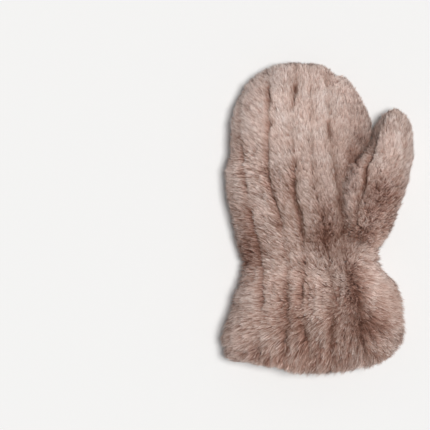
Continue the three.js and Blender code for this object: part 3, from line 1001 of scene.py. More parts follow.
def tuft_at(x, y, seed):
    """The way to the nearest tuft's middle at each x, y, and two random numbers of that tuft."""
    lattice = np.random.default_rng(seed).uniform(0, 1, (LATTICE, LATTICE, 4))
    i, j = np.floor(x / TUFT_SIZE).astype(int), np.floor(y / TUFT_SIZE).astype(int)
    nearest, found = np.full(x.shape, np.inf), np.zeros(x.shape + (4,))
    for di in (-1, 0, 1):
        for dj in (-1, 0, 1):
            tuft = lattice[(i + di) % LATTICE, (j + dj) % LATTICE]
            to_x = (i + di + tuft[:, 0]) * TUFT_SIZE - x
            to_y = (j + dj + tuft[:, 1]) * TUFT_SIZE - y
            away = np.hypot(to_x, to_y)
            closer = away < nearest
            nearest = np.where(closer, away, nearest)
            here = np.stack([to_x, to_y, 2 * tuft[:, 2] - 1, 2 * tuft[:, 3] - 1], 1)
            found = np.where(closer[:, None], here, found)
    return found


reach = np.hypot(*tuft_at(np.arange(0, 60, 0.5), np.zeros(120), 1)[:, :2].T)
print("a tuft's middle is", round(reach.mean(), 1), "mm away on average")

# %% [markdown]
# The back lies on the table and is hardly seen, so it gets fewer, wider hairs. They would look
# bristly if they were as ruffled as the palm's, so its locks are calmer: `calm` is 1 there.

# %% Where the locks stand
UNDERNEATH = 0.3
SIDE_SHARE = 1.25
TRIES = 3


def spread_locks(skin, count, rng, keep):
    """Rows and columns of lock middles, evenly by area but fewer underneath, where keep allows."""
    seen = np.clip(SIDE_SHARE + skin.normal[..., 2], UNDERNEATH, 1)
    area = skin.row_step * skin.column_step * seen
    chance = np.cumsum(area[:-1, :-1].ravel())
    cell = np.searchsorted(chance, rng.uniform(0, chance[-1], int(count * TRIES)))
    r = cell // (skin.shape[1] - 1) + rng.uniform(0, 1, len(cell))
    c = cell % (skin.shape[1] - 1) + rng.uniform(0, 1, len(cell))
    ok = keep(skin.sample(skin.tips, r, c))
    return r[ok][:count], c[ok][:count]


print("from", UNDERNEATH, "of the locks underneath to all of them on top")

# %% The locks of a piece
TUFT_SEED = 6
EVEN_RUFFLE = 0.9
LEAST_RUFFLE = 0.4
MOST_RUFFLE = 2.2
CALM_RUFFLE = 0.5


class Locks:
    """The locks of one piece: where they stand, and how open and ruffled the fur is there."""

    def __init__(self, skin, count, seed, calm, keep):
        self.skin, self.seed, self.calm = skin, seed, calm
        self.rng = np.random.default_rng(seed)
        self.r, self.c = spread_locks(skin, count, self.rng, keep)
        self.middle = self.read(skin.tips)
        self.x, self.y = self.middle[:, 0], self.middle[:, 1]
        self.tuft = tuft_at(self.x, self.y, seed + TUFT_SEED)
        opened = np.clip(place_at(self.middle, "open"), 0, 1)
        self.opened = opened if skin.upper else 0 * self.x
        ruffle = EVEN_RUFFLE + place_at(self.middle, "ruffle")
        self.ruffle = np.clip(ruffle, LEAST_RUFFLE, MOST_RUFFLE) * (1 - CALM_RUFFLE * calm)

    def __len__(self):
        return len(self.r)

    def read(self, grid):
        """A grid's values at the locks' middles."""
        return self.skin.sample(grid, self.r, self.c)

    def patches(self, size, number):
        """Soft random patches at the locks, by a number of their own."""
        return patchy(self.x, self.y, size, self.seed + number)


print("hair is ruffled from", LEAST_RUFFLE, "to", MOST_RUFFLE, "times")

# %% [markdown]
# A lock leans as its comb marks say, and then some: a swirl of its own, towards its tuft's
# middle, and away from a groove beside it. Where the fur stands open, locks lean less and cling
# together more. Last, a lock that would cross an open groove is brought back to its edge.

# %% How a lock leans
COMB_STRENGTH = 1.3
LOCK_SWIRL = 1.1
SWIRL_SIZE = 9
LEAN_JITTER = 0.6
LEAST_LEAN = 3.6
BARE_LEAN = 0.3
OPEN_UPRIGHT = 0.35
PARTING_LEAN = 2.4
PARTING_CHANGE = 0.6
OVER_GROOVE = 0.8
TUFT_DRAW = 0.3
TUFT_DRAW_OPEN = 0.25
TUFT_DRAW_HEM = 0.35
HEM_TUFTS = 30
CALM_TUFTS = 0.6
TUFT_SLANT = 0.5


def lean_of(locks, marks):
    """How far each lock's tip leans from its root, in x and y."""
    opened, tuft = locks.opened, locks.tuft
    near_hem = np.exp(-(((locks.y + CUFF_LENGTH) / HEM_TUFTS) ** 2))
    tufted = TUFT_DRAW + TUFT_DRAW_OPEN * opened + TUFT_DRAW_HEM * near_hem
    tufted *= 1 - CALM_TUFTS * locks.calm
    swirl = np.stack([locks.patches(SWIRL_SIZE, 1), locks.patches(SWIRL_SIZE, 2)], 1)
    lie = COMB_STRENGTH * combed(marks, locks.middle) + LOCK_SWIRL * swirl
    lie += locks.rng.normal(0, LEAN_JITTER, lie.shape) * (1 + opened)[:, None]
    length = np.maximum(np.linalg.norm(lie, axis=1), BARE_LEAN)
    lie *= np.maximum(1, LEAST_LEAN / length)[:, None]
    lie *= (1 - OPEN_UPRIGHT * opened)[:, None]
    parting = locks.read(locks.skin.parting)
    lie[:, 0] += PARTING_LEAN * (1 + PARTING_CHANGE * tuft[:, 2]) * parting
    lie += tufted[:, None] * tuft[:, :2] + TUFT_SLANT * tuft[:, 2:]
    beside = np.sign(parting)
    over = np.maximum(-beside * lie[:, 0] - locks.read(locks.skin.room), 0)
    lie[:, 0] += OVER_GROOVE * beside * over
    return lie


print("a lock leans", LEAST_LEAN, "mm or more before its tuft draws it")

# %% How tall, dark and pointed a lock is
LOCK_HEIGHT = 0.9
HEIGHT_CHANCE = 0.07
HEIGHT_PATCH = 0.07
HEIGHT_SIZE = 7
TUFT_CROWN = 0.16
TUFT_HEIGHT = 0.03
TALLEST = 1.14
CALM_HEIGHT = 0.5
TONE_PATCH = 0.06
TONE_SIZE = 10
LOCK_TONE = 0.09
TUFT_TONE = 0.05
DRAWN_IN = 0.5
OPEN_DRAW = 0.3
DRAW_CHANCE = 0.18
MOST_DRAWN = 0.93
CALM_DRAW = 0.7


def height_of(locks):
    """Each lock's height as a share of the pile: uneven, and tallest in its tuft's middle."""
    crown = 1 - np.hypot(locks.tuft[:, 0], locks.tuft[:, 1]) / TUFT_SIZE
    uneven = locks.rng.normal(0, HEIGHT_CHANCE, len(locks)) * (1 + locks.opened)
    uneven *= 1 - CALM_HEIGHT * locks.calm
    height = LOCK_HEIGHT + uneven + HEIGHT_PATCH * locks.patches(HEIGHT_SIZE, 3)
    return np.minimum(height + TUFT_CROWN * crown + TUFT_HEIGHT * locks.tuft[:, 3], TALLEST)


def tone_of(locks):
    """Each lock's tone: 1 is even, less is darker, with the places' painted light and shade in it.
    """
    tone = 1 + place_at(locks.middle, "change") + TONE_PATCH * locks.patches(TONE_SIZE, 4)
    tone += LOCK_TONE * locks.ruffle * locks.rng.normal(0, 1, len(locks))
    return tone + TUFT_TONE * locks.tuft[:, 3]


def draw_of(locks):
    """How far each lock's blades are drawn together at their tips: at 1 they would all meet."""
    even = DRAWN_IN * (1 - CALM_DRAW * locks.calm) + OPEN_DRAW * locks.opened
    return np.clip(even + locks.rng.normal(0, DRAW_CHANCE, len(locks)), 0.0, MOST_DRAWN)


print("a lock is", LOCK_HEIGHT, "of the pile's depth tall, and", TALLEST, "at most")

# %% [markdown]
# The next cell splits the locks into wisps, four blades to each, and finds where on the grid each
# blade has its root and its tip. The grid is what bends the fur round the hand: a blade's lean,
# in millimetres, becomes a number of rows and columns, so its tip stays on the tips' surface.

# %% Wisps, and the places of the blades
WISP = 4
LOCK_SPREAD = 1.15
WISP_SPREAD = 0.3
WISP_LEAN = 0.5
WISP_TONE = 0.14
WISP_HEIGHT = 0.06
BLADE_LEAN = 0.25


def split_locks(locks, per_lock):
    """The wisps of the locks: each one's lock, place and lean in it, tone and height."""
    lock = np.repeat(np.arange(len(locks)), per_lock // WISP)
    n, rng = len(lock), locks.rng
    place = rng.normal(0, LOCK_SPREAD, (n, 2))
    lean = rng.normal(0, WISP_LEAN, (n, 2))
    tone = WISP_TONE * locks.ruffle[lock] * rng.normal(0, 1, n)
    return lock, place, lean, tone, rng.normal(0, WISP_HEIGHT, n)


def blade_ends(locks, lock, place, lean, draw):
    """Rows and columns of the blades' roots and tips."""
    lock_r, lock_c = locks.r[lock], locks.c[lock]
    row_step = locks.read(locks.skin.row_step)[lock]
    column_step = locks.read(locks.skin.column_step)[lock]
    root_r, root_c = lock_r + place[:, 0] / row_step, lock_c + place[:, 1] / column_step
    lean = np.concatenate([lean, np.zeros((len(lock), 1))], 1)
    rows_on = np.sum(lean * locks.read(locks.skin.along)[lock], 1) / row_step
    columns_on = np.sum(lean * locks.read(locks.skin.across)[lock], 1) / column_step
    tip_r = lock_r + (root_r - lock_r) * (1 - draw) + rows_on
    tip_c = lock_c + (root_c - lock_c) * (1 - draw) + columns_on
    return root_r, root_c, tip_r, tip_c, column_step


print("a lock is about", round(2 * LOCK_SPREAD, 1), "mm wide at its roots")

# %% [markdown]
# A hair keeps the length that it has where it is rooted. Beside a groove the roots stand low, yet
# the hair of the strip on the right leans across it, so a closed groove shows as a ragged, shaded
# overlap. A few hairs, the whiskers, stand past the rest and make the outline fuzzy.
#
# Each blade's flat side turns outwards, with a little chance, and widens in its middle.

# %% Whiskers, and a blade's four points
WHISKERS = 0.045
WHISKERS_ON_FLANKS = 2
WHISKER_LENGTH = (0.05, 0.4)
WHISKER_FADE = (1.1, 0.3, 1.2)
TURN_CHANCE = 0.3
WIDTH_RANGE = (0.7, 1.3)
OFF_FLOOR = 0.02


def with_whiskers(height, out, y, rng):
    """The blades' heights with a few whiskers, most of them on the flanks and towards the hem."""
    start, least, most = WHISKER_FADE
    ragged = np.clip(start - y / HAND_LENGTH, least, most)
    flank = 1 - np.abs(out[:, 2])
    stray = rng.uniform(0, 1, len(y)) < WHISKERS * (1 + WHISKERS_ON_FLANKS * flank)
    return np.where(stray, height + ragged * rng.uniform(*WHISKER_LENGTH, len(y)), height)


def blade_points(root, mid, tip, out, width, rng):
    """The four points of each blade: its root, its middle's two sides and its tip."""
    side = unit(np.cross(tip - root, out + rng.normal(0, TURN_CHANCE, out.shape)))
    face = np.cross(side, tip - root)
    side *= np.where(np.sum(face * out, 1) < 0, -1, 1)[:, None]
    broad = side * width * rng.uniform(*WIDTH_RANGE, len(root))[:, None] / 2
    points = np.stack([root, mid - broad, mid + broad, tip], 1)
    points[..., 2] = np.maximum(points[..., 2], OFF_FLOOR)
    return points


print("one hair in", round(1 / WHISKERS), "is a whisker on top, and more are on the flanks")

# %% [markdown]
# `grow` puts all of it together. Its last lines give each blade its tone, darkened with painted
# shade down in a groove and beside the seam with the neighbour, and leave out the blades that
# would start inside the neighbour.

# %% The blades of a piece
CLEAR_OF_NEIGHBOUR = 1.5
CLEAR_UP_TO = 0.6
BEND_ALONG = 0.34
BEND_HEIGHT = 0.74
GROOVE_WANDER = 1.2
WANDER_SIZE = 6
BLADE_HEIGHT = 0.03
BLADE_TONE = 0.06
TONE_RANGE = (0.3, 1.3)
CREASE_SHADE = 0.3
GROOVE_SHADE = 0.85
PALE_LOSS = 0.3


def grow(skin, marks, blades, per_lock, seed, stands, neighbour, width, calm):
    """The blades of one piece: their points, tones, tips' paleness and the pile's normals."""

    def stands_clear(p):
        return stands(p) & ~neighbour(p, CLEAR_OF_NEIGHBOUR)

    locks = Locks(skin, blades // per_lock, seed, calm, stands_clear)
    rng = locks.rng
    lock_lean = lean_of(locks, marks)
    lock_height = height_of(locks)
    lock_tone = tone_of(locks)
    lock_draw = draw_of(locks)
    lock_of, wisp_place, wisp_lean, wisp_tone, wisp_height = split_locks(locks, per_lock)

    wisp = np.repeat(np.arange(len(lock_of)), WISP)
    lock = lock_of[wisp]
    n = len(lock)
    place = wisp_place[wisp] + rng.normal(0, WISP_SPREAD, (n, 2))
    lean = lock_lean[lock] + wisp_lean[wisp] + rng.normal(0, BLADE_LEAN, (n, 2))
    ends = blade_ends(locks, lock, place, lean, lock_draw[lock])
    root_r, root_c, tip_r, tip_c, column_step = ends
    mid_r = root_r + BEND_ALONG * (tip_r - root_r)
    mid_c = root_c + BEND_ALONG * (tip_c - root_c)

    wander = GROOVE_WANDER * locks.patches(WANDER_SIZE, 5)[lock] / column_step
    fall = skin.sample(skin.fall, mid_r, mid_c + wander)
    height = lock_height[lock] + wisp_height[wisp] + rng.normal(0, BLADE_HEIGHT, n)
    out = skin.sample(skin.normal, mid_r, mid_c)
    height = with_whiskers(height * (1 - fall / PILE), out, locks.y[lock], rng)
    root = skin.lift(root_r, root_c, 0 * height)
    mid = skin.lift(mid_r, mid_c, BEND_HEIGHT * height)
    tip = skin.lift(tip_r, tip_c, height)
    points = blade_points(root, mid, tip, out, width, rng)

    tone = lock_tone[lock] + wisp_tone[wisp]
    tone = tone + BLADE_TONE * locks.ruffle[lock] * rng.normal(0, 1, n)
    # Painted shade: darker beside the seam with the neighbour, then down in the grooves and dents.
    tone *= 1 - CREASE_SHADE * nearness(neighbour, mid)
    shade = skin.sample(skin.shade, mid_r, mid_c + wander)
    tone = np.clip(tone, *TONE_RANGE) * (1 - GROOVE_SHADE * shade / PILE)
    pale = 1 - PALE_LOSS * locks.opened[lock]
    ok = ~neighbour(root + (tip - root) * CLEAR_UP_TO, CLEAR_OF_NEIGHBOUR)
    print("  grew", int(ok.sum()), "blades in", len(locks), "locks")
    return points[ok], tone[ok], pale[ok], out[ok]


print("a blade bends at", BEND_HEIGHT, "of its height")

# %% [markdown]
# ## From blades to a mesh
#
# Each blade gets its own small cell in the UV map, so that a baked picture of the fur has room
# for every hair. Two attributes carry what the material needs: how far along its blade a point
# is, which ends short of the pale tip where the pile stands open, and the tone of its lock, with
# the painted shade of grooves, dents and seams in it.

# %% Making a mesh
def mesh_of(name, vertices, faces, material):
    """An object from arrays of points and of faces that all have the same number of corners."""
    mesh = bpy.data.meshes.new(name)
    mesh.vertices.add(len(vertices))
    mesh.vertices.foreach_set("co", np.asarray(vertices, np.float32).ravel())
    mesh.loops.add(faces.size)
    mesh.loops.foreach_set("vertex_index", faces.astype(np.int32).ravel())
    mesh.polygons.add(len(faces))
    starts = np.arange(0, faces.size, faces.shape[1], dtype=np.int32)
    mesh.polygons.foreach_set("loop_start", starts)
    mesh.update(calc_edges=True)
    mesh.polygons.foreach_set("use_smooth", np.ones(len(faces), bool))
    mesh.materials.append(material)
    piece = bpy.data.objects.new(name, mesh)
    bpy.context.scene.collection.objects.link(piece)
    return piece


def note(mesh, name, values):
    """Writes one number for each point of a mesh, as an attribute that a material can read."""
    made = mesh.attributes.new(name, "FLOAT", "POINT")
    made.data.foreach_set("value", values.astype(np.float32))


def stands_for(piece, node):
    """Hides the packed piece that this one shows, and makes this one move with the root body."""
    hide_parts(node)
    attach(piece, "root")


packed = sum(o.type == "MESH" for o in bpy.data.objects)
print("packed pieces in the scene, before any of these:", packed)

# %% A mesh of blades
BLADE_TRIANGLES = np.array([[0, 2, 1], [1, 2, 3]])
BLADE_ALONG = np.array([0.0, 0.6, 0.6, 1.0])
BLADE_UV = np.array([[0.5, 0.12], [0.2, 0.5], [0.8, 0.5], [0.5, 0.88]])
OWN_NORMAL = 0.6


def blade_normals(points, out):
    """Normals of the blades' points: mostly the pile's own, so that the pile shades as one."""
    face = unit(np.cross(points[:, 1] - points[:, 0], points[:, 2] - points[:, 0]))
    turned = np.where(np.sum(face * out, 1) < 0, -1, 1)[:, None]
    return np.repeat(unit(out + OWN_NORMAL * face * turned), points.shape[1], axis=0)


def fur_piece(name, node, blades, material):
    """One piece of fur, from its blades' points, tones, tips' paleness and the pile's normals."""
    points, tone, pale, out = blades
    n = len(points)
    vertices = (points.reshape(-1, 3) + shift) * MM
    first = len(BLADE_ALONG) * np.arange(n)[:, None, None]
    triangles = (BLADE_TRIANGLES[None] + first).reshape(-1, 3)
    piece = mesh_of(name, vertices, triangles, material)
    mesh = piece.data
    note(mesh, "along", (pale[:, None] * BLADE_ALONG).ravel())
    note(mesh, "tone", np.repeat(tone, len(BLADE_ALONG)))
    side = math.ceil(math.sqrt(n))
    cell = np.stack([np.arange(n) % side, np.arange(n) // side], 1)
    uv = (cell[:, None, :] + BLADE_UV[None]) / side
    layer = mesh.uv_layers.new(name="OFBake")
    by_corner = uv.reshape(-1, 2)[triangles.ravel()]
    layer.data.foreach_set("uv", by_corner.astype(np.float32).ravel())
    mesh.normals_split_custom_set_from_vertices(blade_normals(points, out))
    stands_for(piece, node)
    print(name, len(triangles), "triangles")
    return piece


print("a blade has", len(BLADE_TRIANGLES), "triangles and", len(BLADE_ALONG), "points")

# %% [markdown]
# ## Shader maths as Python
#
# A material is a small sum, and a sum reads best as one. `Sock` wraps a node's output, so that
# `0.5 + 0.5 * mask` adds the Math nodes by itself. `Finish` holds a material in the making, and
# its one method `node` adds any other node: the settings first, then the values and links of its
# inputs.

# %% A material in the making
class Finish:
    """A material in the making: its nodes, and the shader that they feed."""

    def __init__(self, name):
        self.material = bpy.data.materials.new(name)
        self.material.use_nodes = True
        self.tree = self.material.node_tree
        self.shader = self.tree.nodes["Principled BSDF"]

    def feed(self, node, sockets):
        """Links or sets a node's inputs, which are named Like_This or by number, as i0."""
        for key, value in sockets.items():
            by_number = key[1:].isdigit()
            target = node.inputs[int(key[1:]) if by_number else key.replace("_", " ")]
            if isinstance(value, Sock):
                self.tree.links.new(value.socket, target)
            else:
                target.default_value = value

    def node(self, kind, settings=None, output=None, **sockets):
        """Adds a node and gives the output that is named, or else its first."""
        made = self.tree.nodes.new(kind)
        for key, value in (settings or {}).items():
            setattr(made, key, value)
        self.feed(made, sockets)
        found = made.outputs[output] if output else next(o for o in made.outputs if o.enabled)
        return Sock(self, found)

    def attribute(self, name):
        """A number that the mesh holds for each of its points."""
        return self.node("ShaderNodeAttribute", {"attribute_name": name}, "Fac")

    def place(self):
        """The place on the object, in metres."""
        return self.node("ShaderNodeTexCoord", output="Object")

    def product(self, a, b):
        """Two colours multiplied."""
        return self.node("ShaderNodeVectorMath", {"operation": "MULTIPLY"}, i0=a, i1=b)


print("a finish can:", ", ".join(name for name in vars(Finish) if name[0] != "_"))

# %% A socket that can be added and multiplied
class Sock:
    """An output socket in a material, with arithmetic."""

    def __init__(self, finish, socket):
        self.finish, self.socket = finish, socket

    def maths(self, operation, a, b):
        return self.finish.node("ShaderNodeMath", {"operation": operation}, i0=a, i1=b)

    def __add__(self, other):
        return self.maths("ADD", self, other)

    __radd__ = __add__

    def __mul__(self, other):
        return self.maths("MULTIPLY", self, other)

    __rmul__ = __mul__

    def __sub__(self, other):
        return self.maths("SUBTRACT", self, other)

    def __rsub__(self, other):
        return self.maths("SUBTRACT", other, self)

    def __pow__(self, other):
        return self.maths("POWER", self, other)

    def rise(self, low, high):
        """0 up to low, 1 from high on, and smooth between them."""
        smooth = {"interpolation_type": "SMOOTHSTEP"}
        return self.finish.node("ShaderNodeMapRange", smooth, i0=self, i1=low, i2=high)

    def mix(self, a, b):
        """Colour a where this is 0 and b where it is 1."""
        return self.finish.node("ShaderNodeMix", {"data_type": "RGBA"}, i0=self, i6=a, i7=b)

    def shade(self, colour, green, blue):
        """A colour made darker by this number, more so in green and blue, so that it warms."""
        parts = self.finish.node("ShaderNodeCombineXYZ", X=self, Y=self**green, Z=self**blue)
        return self.finish.product(colour, parts)


def srgb(red, green, blue):
    """A colour from its 0 to 255 values, as Blender's linear numbers."""

    def linear(v):
        v /= 255
        return v / 12.92 if v <= 0.04045 else ((v + 0.055) / 1.055) ** 2.4

    return (linear(red), linear(green), linear(blue), 1.0)


print("mid grey in linear numbers:", round(srgb(128, 128, 128)[0], 3))

# %% [markdown]
# ## The fur's finish
#
# Each hair is dark near the backing and pale at its tip. Light that enters the pile bounces from
# hair to hair and comes out warmer, so the middle of the hair is a warm brown and not grey. For
# the same reason a darker lock is also a warmer one. The hair is matt: a high roughness, with
# little shine, and both its tone and its roughness have fine flecks. Broad, soft patches are a
# little more rosy or a little more grey, as dyed fur is.

# %% The fur's material
ROOT_COLOUR = srgb(84, 48, 40)
MIDDLE_COLOUR = srgb(186, 149, 135)
TIP_COLOUR = srgb(246, 228, 219)
ROSY = (1.0, 0.975, 0.965, 1.0)
GREYISH = (0.975, 0.985, 0.99, 1.0)
DARK_UP_TO = 0.6
PALE_FROM = 0.5
PATCHES = {"Scale": 42.0, "Detail": 2.0}
PATCH_EDGE = (0.38, 0.62)
FLECKS = {"Scale": 900.0, "Detail": 1.0}
FLECKED = (0.93, 0.14)
WARM_GREEN = 1.32
WARM_BLUE = 1.5
ROUGHNESS = (0.66, 0.2)
SHINE = 0.25


def fur_material(name):
    """Hair: dark root, pale tip, rosy and greyish patches, and the tone of its lock with its
    painted light and shade.
    """
    fur = Finish(name)
    along, here = fur.attribute("along"), fur.place()
    low_half = along.rise(0.0, DARK_UP_TO).mix(ROOT_COLOUR, MIDDLE_COLOUR)
    colour = along.rise(PALE_FROM, 1.0).mix(low_half, TIP_COLOUR)
    patches = fur.node("ShaderNodeTexNoise", Vector=here, **PATCHES)
    fine = fur.node("ShaderNodeTexNoise", Vector=here, **FLECKS)
    tinted = fur.product(colour, patches.rise(*PATCH_EDGE).mix(ROSY, GREYISH))
    flecked = fur.attribute("tone") * (FLECKED[0] + FLECKED[1] * fine)
    warm = flecked.shade(tinted, WARM_GREEN, WARM_BLUE)
    rough = ROUGHNESS[0] + ROUGHNESS[1] * fine
    fur.feed(fur.shader, {"Base_Color": warm, "Roughness": rough, "Specular_IOR_Level": SHINE})
    return fur.material


fur = fur_material("fur pile")
print("the fur's nodes:", len(fur.node_tree.nodes))

# %% [markdown]
# ## The backing
#
# Inside the cuff one sees the knitted back of the fur cloth. It is a thin shell, 2 mm thick, that
# follows the roots of the hair. The grid of roots gives its outer face, and the same grid drawn
# in by the backing's thickness gives the inner one. The back of the mitten, which lies
# underneath, has fewer hairs, so there the outer face is raised and coloured as the dense, short
# underfur that would be seen between them.

# %% The backing's material
KNIT_COLOUR = srgb(206, 182, 170)
KNIT_SHADOW = srgb(150, 124, 114)
UNDERFUR_COLOUR = srgb(158, 120, 106)
RIBS = {"direction": "X", "scale": 140.0, "distortion": 1.5}
LOOPS = {"direction": "Y", "scale": 190.0, "distortion": 2.0}
RIB_SHARE = 0.6
KNIT_RELIEF = {"Strength": 0.5, "Distance": 0.0006}
CLOTH_ROUGHNESS = 0.9


def backing_material(name):
    """Knitted cloth inside, ribs crossed by rows of loops, and underfur outside."""
    cloth = Finish(name)
    here = cloth.place()

    def bands(direction, scale, distortion):
        settings = {"wave_type": "BANDS", "bands_direction": direction}
        sizes = {"Vector": here, "Scale": scale, "Distortion": distortion}
        return cloth.node("ShaderNodeTexWave", settings, "Fac", **sizes)

    knit = bands(**RIBS) * RIB_SHARE + bands(**LOOPS) * (1 - RIB_SHARE)
    # The knit's darker parts are painted shade between its ribs and loops.
    inside = knit.mix(KNIT_SHADOW, KNIT_COLOUR)
    colour = cloth.attribute("outside").mix(inside, UNDERFUR_COLOUR)
    bump = cloth.node("ShaderNodeBump", Height=knit, **KNIT_RELIEF)
    cloth.feed(cloth.shader, {"Base_Color": colour, "Normal": bump, "Roughness": CLOTH_ROUGHNESS})
    return cloth.material


knit = backing_material("knitted backing")
print("the backing's nodes:", len(knit.node_tree.nodes))

# %% A shell between two grids
UNDERFUR_HEIGHT = 0.5
UNDERFUR_EDGE = 16
SHELL_STEPS = (4, 6)


def shell_faces(n, m):
    """The four-sided faces of a closed shell between two grids of n by m points."""
    index = np.arange(n * m).reshape(n, m)
    corners = [index[:-1, :-1], index[1:, :-1], index[1:, 1:], index[:-1, 1:]]
    outer = np.stack(corners, 2).reshape(-1, 4)
    rim = np.concatenate([index[:-1, 0], index[-1, :-1], index[:0:-1, -1], index[0, :0:-1]])
    after = np.roll(rim, -1)
    edge = np.stack([after, rim, rim + n * m, after + n * m], 1)
    return np.concatenate([outer, outer[:, ::-1] + n * m, edge])


def underfur(skin):
    """The grid of roots, raised under the back's thinner hair to where its underfur ends."""
    if skin.upper:
        return skin.roots
    from_edge = np.clip(np.arange(skin.shape[0]) / UNDERFUR_EDGE, 0, 1)[:, None]
    raised = UNDERFUR_HEIGHT * from_edge * (1 - skin.fall / PILE)
    return skin.roots + raised[..., None] * (skin.tips - skin.roots)


def backing_piece(name, node, skin, part):
    """The backing under one piece of fur, from some rows of its skin."""
    r, c = SHELL_STEPS
    outer = underfur(skin)[part][::r, ::c]
    inner = (skin.roots - skin.normal * BACKING)[part][::r, ::c]
    vertices = np.concatenate([outer.reshape(-1, 3), inner.reshape(-1, 3)])
    faces = shell_faces(*outer.shape[:2])
    piece = mesh_of(name, (vertices + shift) * MM, faces, knit)
    note(piece.data, "outside", np.repeat([1.0, 0.0], len(vertices) // 2))
    stands_for(piece, node)
    return len(faces)


print("a shell of 3 by 3 points has", len(shell_faces(3, 3)), "faces")

# %% The backing's pieces
wrist_row = int(np.searchsorted(palm_skin.roots[:, 0, 1], 0))
hand_rows, cuff_rows, thumb_rows = slice(wrist_row, None), slice(0, wrist_row), slice(None)
for name, node, slot, skin, part in (
    ("palm_backing", "hand_palm", "palm_fur", palm_skin, hand_rows),
    ("cuff_palm_backing", "cuff_palm", "palm_fur", palm_skin, cuff_rows),
    ("back_backing", "hand_back", "back_fur", back_skin, hand_rows),
    ("cuff_back_backing", "cuff_back", "back_fur", back_skin, cuff_rows),
    ("thumb_front_backing", "thumb_front", "thumb_fur", front_skin, thumb_rows),
    ("thumb_back_backing", "thumb_back", "thumb_fur", rear_skin, thumb_rows),
):
    print(name, backing_piece(name, node, skin, part), "faces")

# %% [markdown]
# ## The pieces of fur
#
# The palm gets the most hair, because it is seen from above. A piece's locks stand on its own
# side of the wrist seam, and its blades stay clear of the piece that it is sewn to. The palm has
# two layers: the long pile, and an underfur of smaller locks that fills the gaps between them.

# %% Which side of a seam a lock stands on
SEAM_WANDER = 3.0
SEAM_PATCH = 8
SEAM_SEED = 5
CREASE_OVERLAP = 2


def seam_y(p):
    """The wrist seam's place at each point: hair hides it, so it wanders a little."""
    return SEAM_WANDER * patchy(p[:, 0], 0 * p[:, 0], SEAM_PATCH, SEAM_SEED)


def on_hand(p):
    """Whether points lie on the hand's side of the wrist seam."""
    return p[:, 1] > seam_y(p)


def on_cuff(p):
    """Whether points lie on the cuff's side of the wrist seam."""
    return p[:, 1] <= seam_y(p)


def above_crease(p):
    """Whether points lie on the thumb's side of the crease at its base."""
    return p[:, 1] > crease_y(p) - CREASE_OVERLAP


print("the wrist seam wanders by", SEAM_WANDER, "mm")

# %% Fur on each piece
FIRST_SEED = 21
share = 1.0
GROWS_ON = {
    "hand_palm": ("palm_fur", palm_skin, PALM_COMB, on_hand, inside_thumb),
    "cuff_palm": ("palm_fur", palm_skin, PALM_COMB, on_cuff, inside_thumb),
    "thumb_front": ("thumb_fur", front_skin, THUMB_COMB, above_crease, inside_body),
    "thumb_back": ("thumb_fur", rear_skin, THUMB_COMB, above_crease, inside_body),
    "hand_back": ("back_fur", back_skin, BACK_COMB, on_hand, inside_thumb),
    "cuff_back": ("back_fur", back_skin, BACK_COMB, on_cuff, inside_thumb),
}
PIECES = rows(
    "name node blades per_lock width calm",
    ("palm_fur", "hand_palm", 97000, 12, 0.36, 0.0),
    ("palm_underfur", "hand_palm", 84000, 8, 0.36, 0.0),
    ("cuff_palm_fur", "cuff_palm", 98000, 8, 0.38, 0.0),
    ("thumb_front_fur", "thumb_front", 70000, 12, 0.36, 0.0),
    ("thumb_back_fur", "thumb_back", 26400, 8, 0.55, 1.0),
    ("hand_back_fur", "hand_back", 52000, 8, 0.58, 1.0),
    ("cuff_back_fur", "cuff_back", 48000, 8, 0.58, 1.0),
)
for seed, p in enumerate(PIECES, FIRST_SEED):
    slot, skin, marks, stands, neighbour = GROWS_ON[p["node"]]
    sizes = (int(share * p["blades"]), p["per_lock"], seed)
    blades = grow(skin, marks, *sizes, stands, neighbour, p["width"], p["calm"])
    fur_piece(p["name"], p["node"], blades, fur)
pieces = [o for o in bpy.data.objects if o.name.endswith(("fur", "backing")) and o.type == "MESH"]
triangles = sum(len(f.vertices) - 2 for o in pieces for f in o.data.polygons)
print("the mitten's triangles:", triangles)

# %% [markdown]
# ## The stage
#
# The photograph looks straight down on a pale, even ground. A broad soft light comes from the
# right and a little from the finger tips' side, so a soft shadow lies along the mitten's left
# edge.

# %% The floor
FLOOR_HALF = 3
FLOOR_GREY = (0.9, 0.9, 0.9, 1)
ground = Finish("pale ground")
matt = {"Base_Color": FLOOR_GREY, "Roughness": CLOTH_ROUGHNESS, "Specular_IOR_Level": 0.0}
ground.feed(ground.shader, matt)
corners = FLOOR_HALF * np.array([(-1, -1, 0), (1, -1, 0), (1, 1, 0), (-1, 1, 0)])
floor = mesh_of("floor", corners, np.array([[0, 1, 2, 3]]), ground.material)
print("the floor is", 2 * FLOOR_HALF, "m wide")

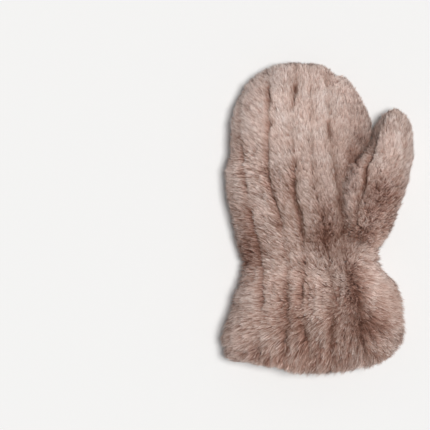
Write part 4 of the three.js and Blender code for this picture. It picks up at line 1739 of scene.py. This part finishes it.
# %% The light
SKY = (0.97, 0.985, 1.0, 1)
SKY_STRENGTH = 0.17
SUN_STRENGTH = 2.69
SUN_COLOUR = (1.0, 0.99, 0.975)
SUN_ANGLE = 17
SUN_PLACE = Vector((0.42, 0.05, 2.4))

world = bpy.data.worlds.new("studio")
bpy.context.scene.world = world
world.use_nodes = True
background = world.node_tree.nodes["Background"]
background.inputs["Color"].default_value = SKY
background.inputs["Strength"].default_value = SKY_STRENGTH

light = bpy.data.lights.new("key", "SUN")
light.energy, light.color, light.angle = SUN_STRENGTH, SUN_COLOUR, math.radians(SUN_ANGLE)
sun = bpy.data.objects.new("key", light)
sun.location = SUN_PLACE
sun.rotation_euler = (-SUN_PLACE).to_track_quat("-Z", "Y").to_euler()
bpy.context.scene.collection.objects.link(sun)
print("the sun stands", round(math.degrees(math.atan2(SUN_PLACE.z, SUN_PLACE.x))), "degrees high")

# %% [markdown]
# The camera stands three metres up with a long lens, so that nothing is seen from the side. The
# photograph is 430 pixels wide, one pixel is 0.93 mm, and the mitten's middle lies right of its
# own.

# %% The camera
CAMERA_HEIGHT = 3.0
SENSOR = 36.0
FAR = 20.0
HALF_DEPTH = 0.02
PHOTO_SIDE = 430
MM_PER_PIXEL = 0.93
MITTEN_CENTRE_PIXEL = (317.8, 217.3)
centre = (PHOTO_SIDE / 2 - MITTEN_CENTRE_PIXEL[0], MITTEN_CENTRE_PIXEL[1] - PHOTO_SIDE / 2)
width_seen = PHOTO_SIDE * MM_PER_PIXEL * MM
camera_data = bpy.data.cameras.new("camera")
camera = bpy.data.objects.new("camera", camera_data)
bpy.context.scene.collection.objects.link(camera)
camera.location = (*(c * MM_PER_PIXEL * MM for c in centre), CAMERA_HEIGHT)
camera_data.sensor_width = SENSOR
camera_data.lens = SENSOR * (CAMERA_HEIGHT - HALF_DEPTH) / width_seen
camera_data.clip_end = FAR
bpy.context.scene.camera = camera
bpy.context.scene.view_settings.view_transform = "Standard"
bpy.context.scene.view_settings.look = "None"
print("seen:", round(width_seen, 3), "m, with a lens of", round(camera_data.lens), "mm")

# %% [markdown]
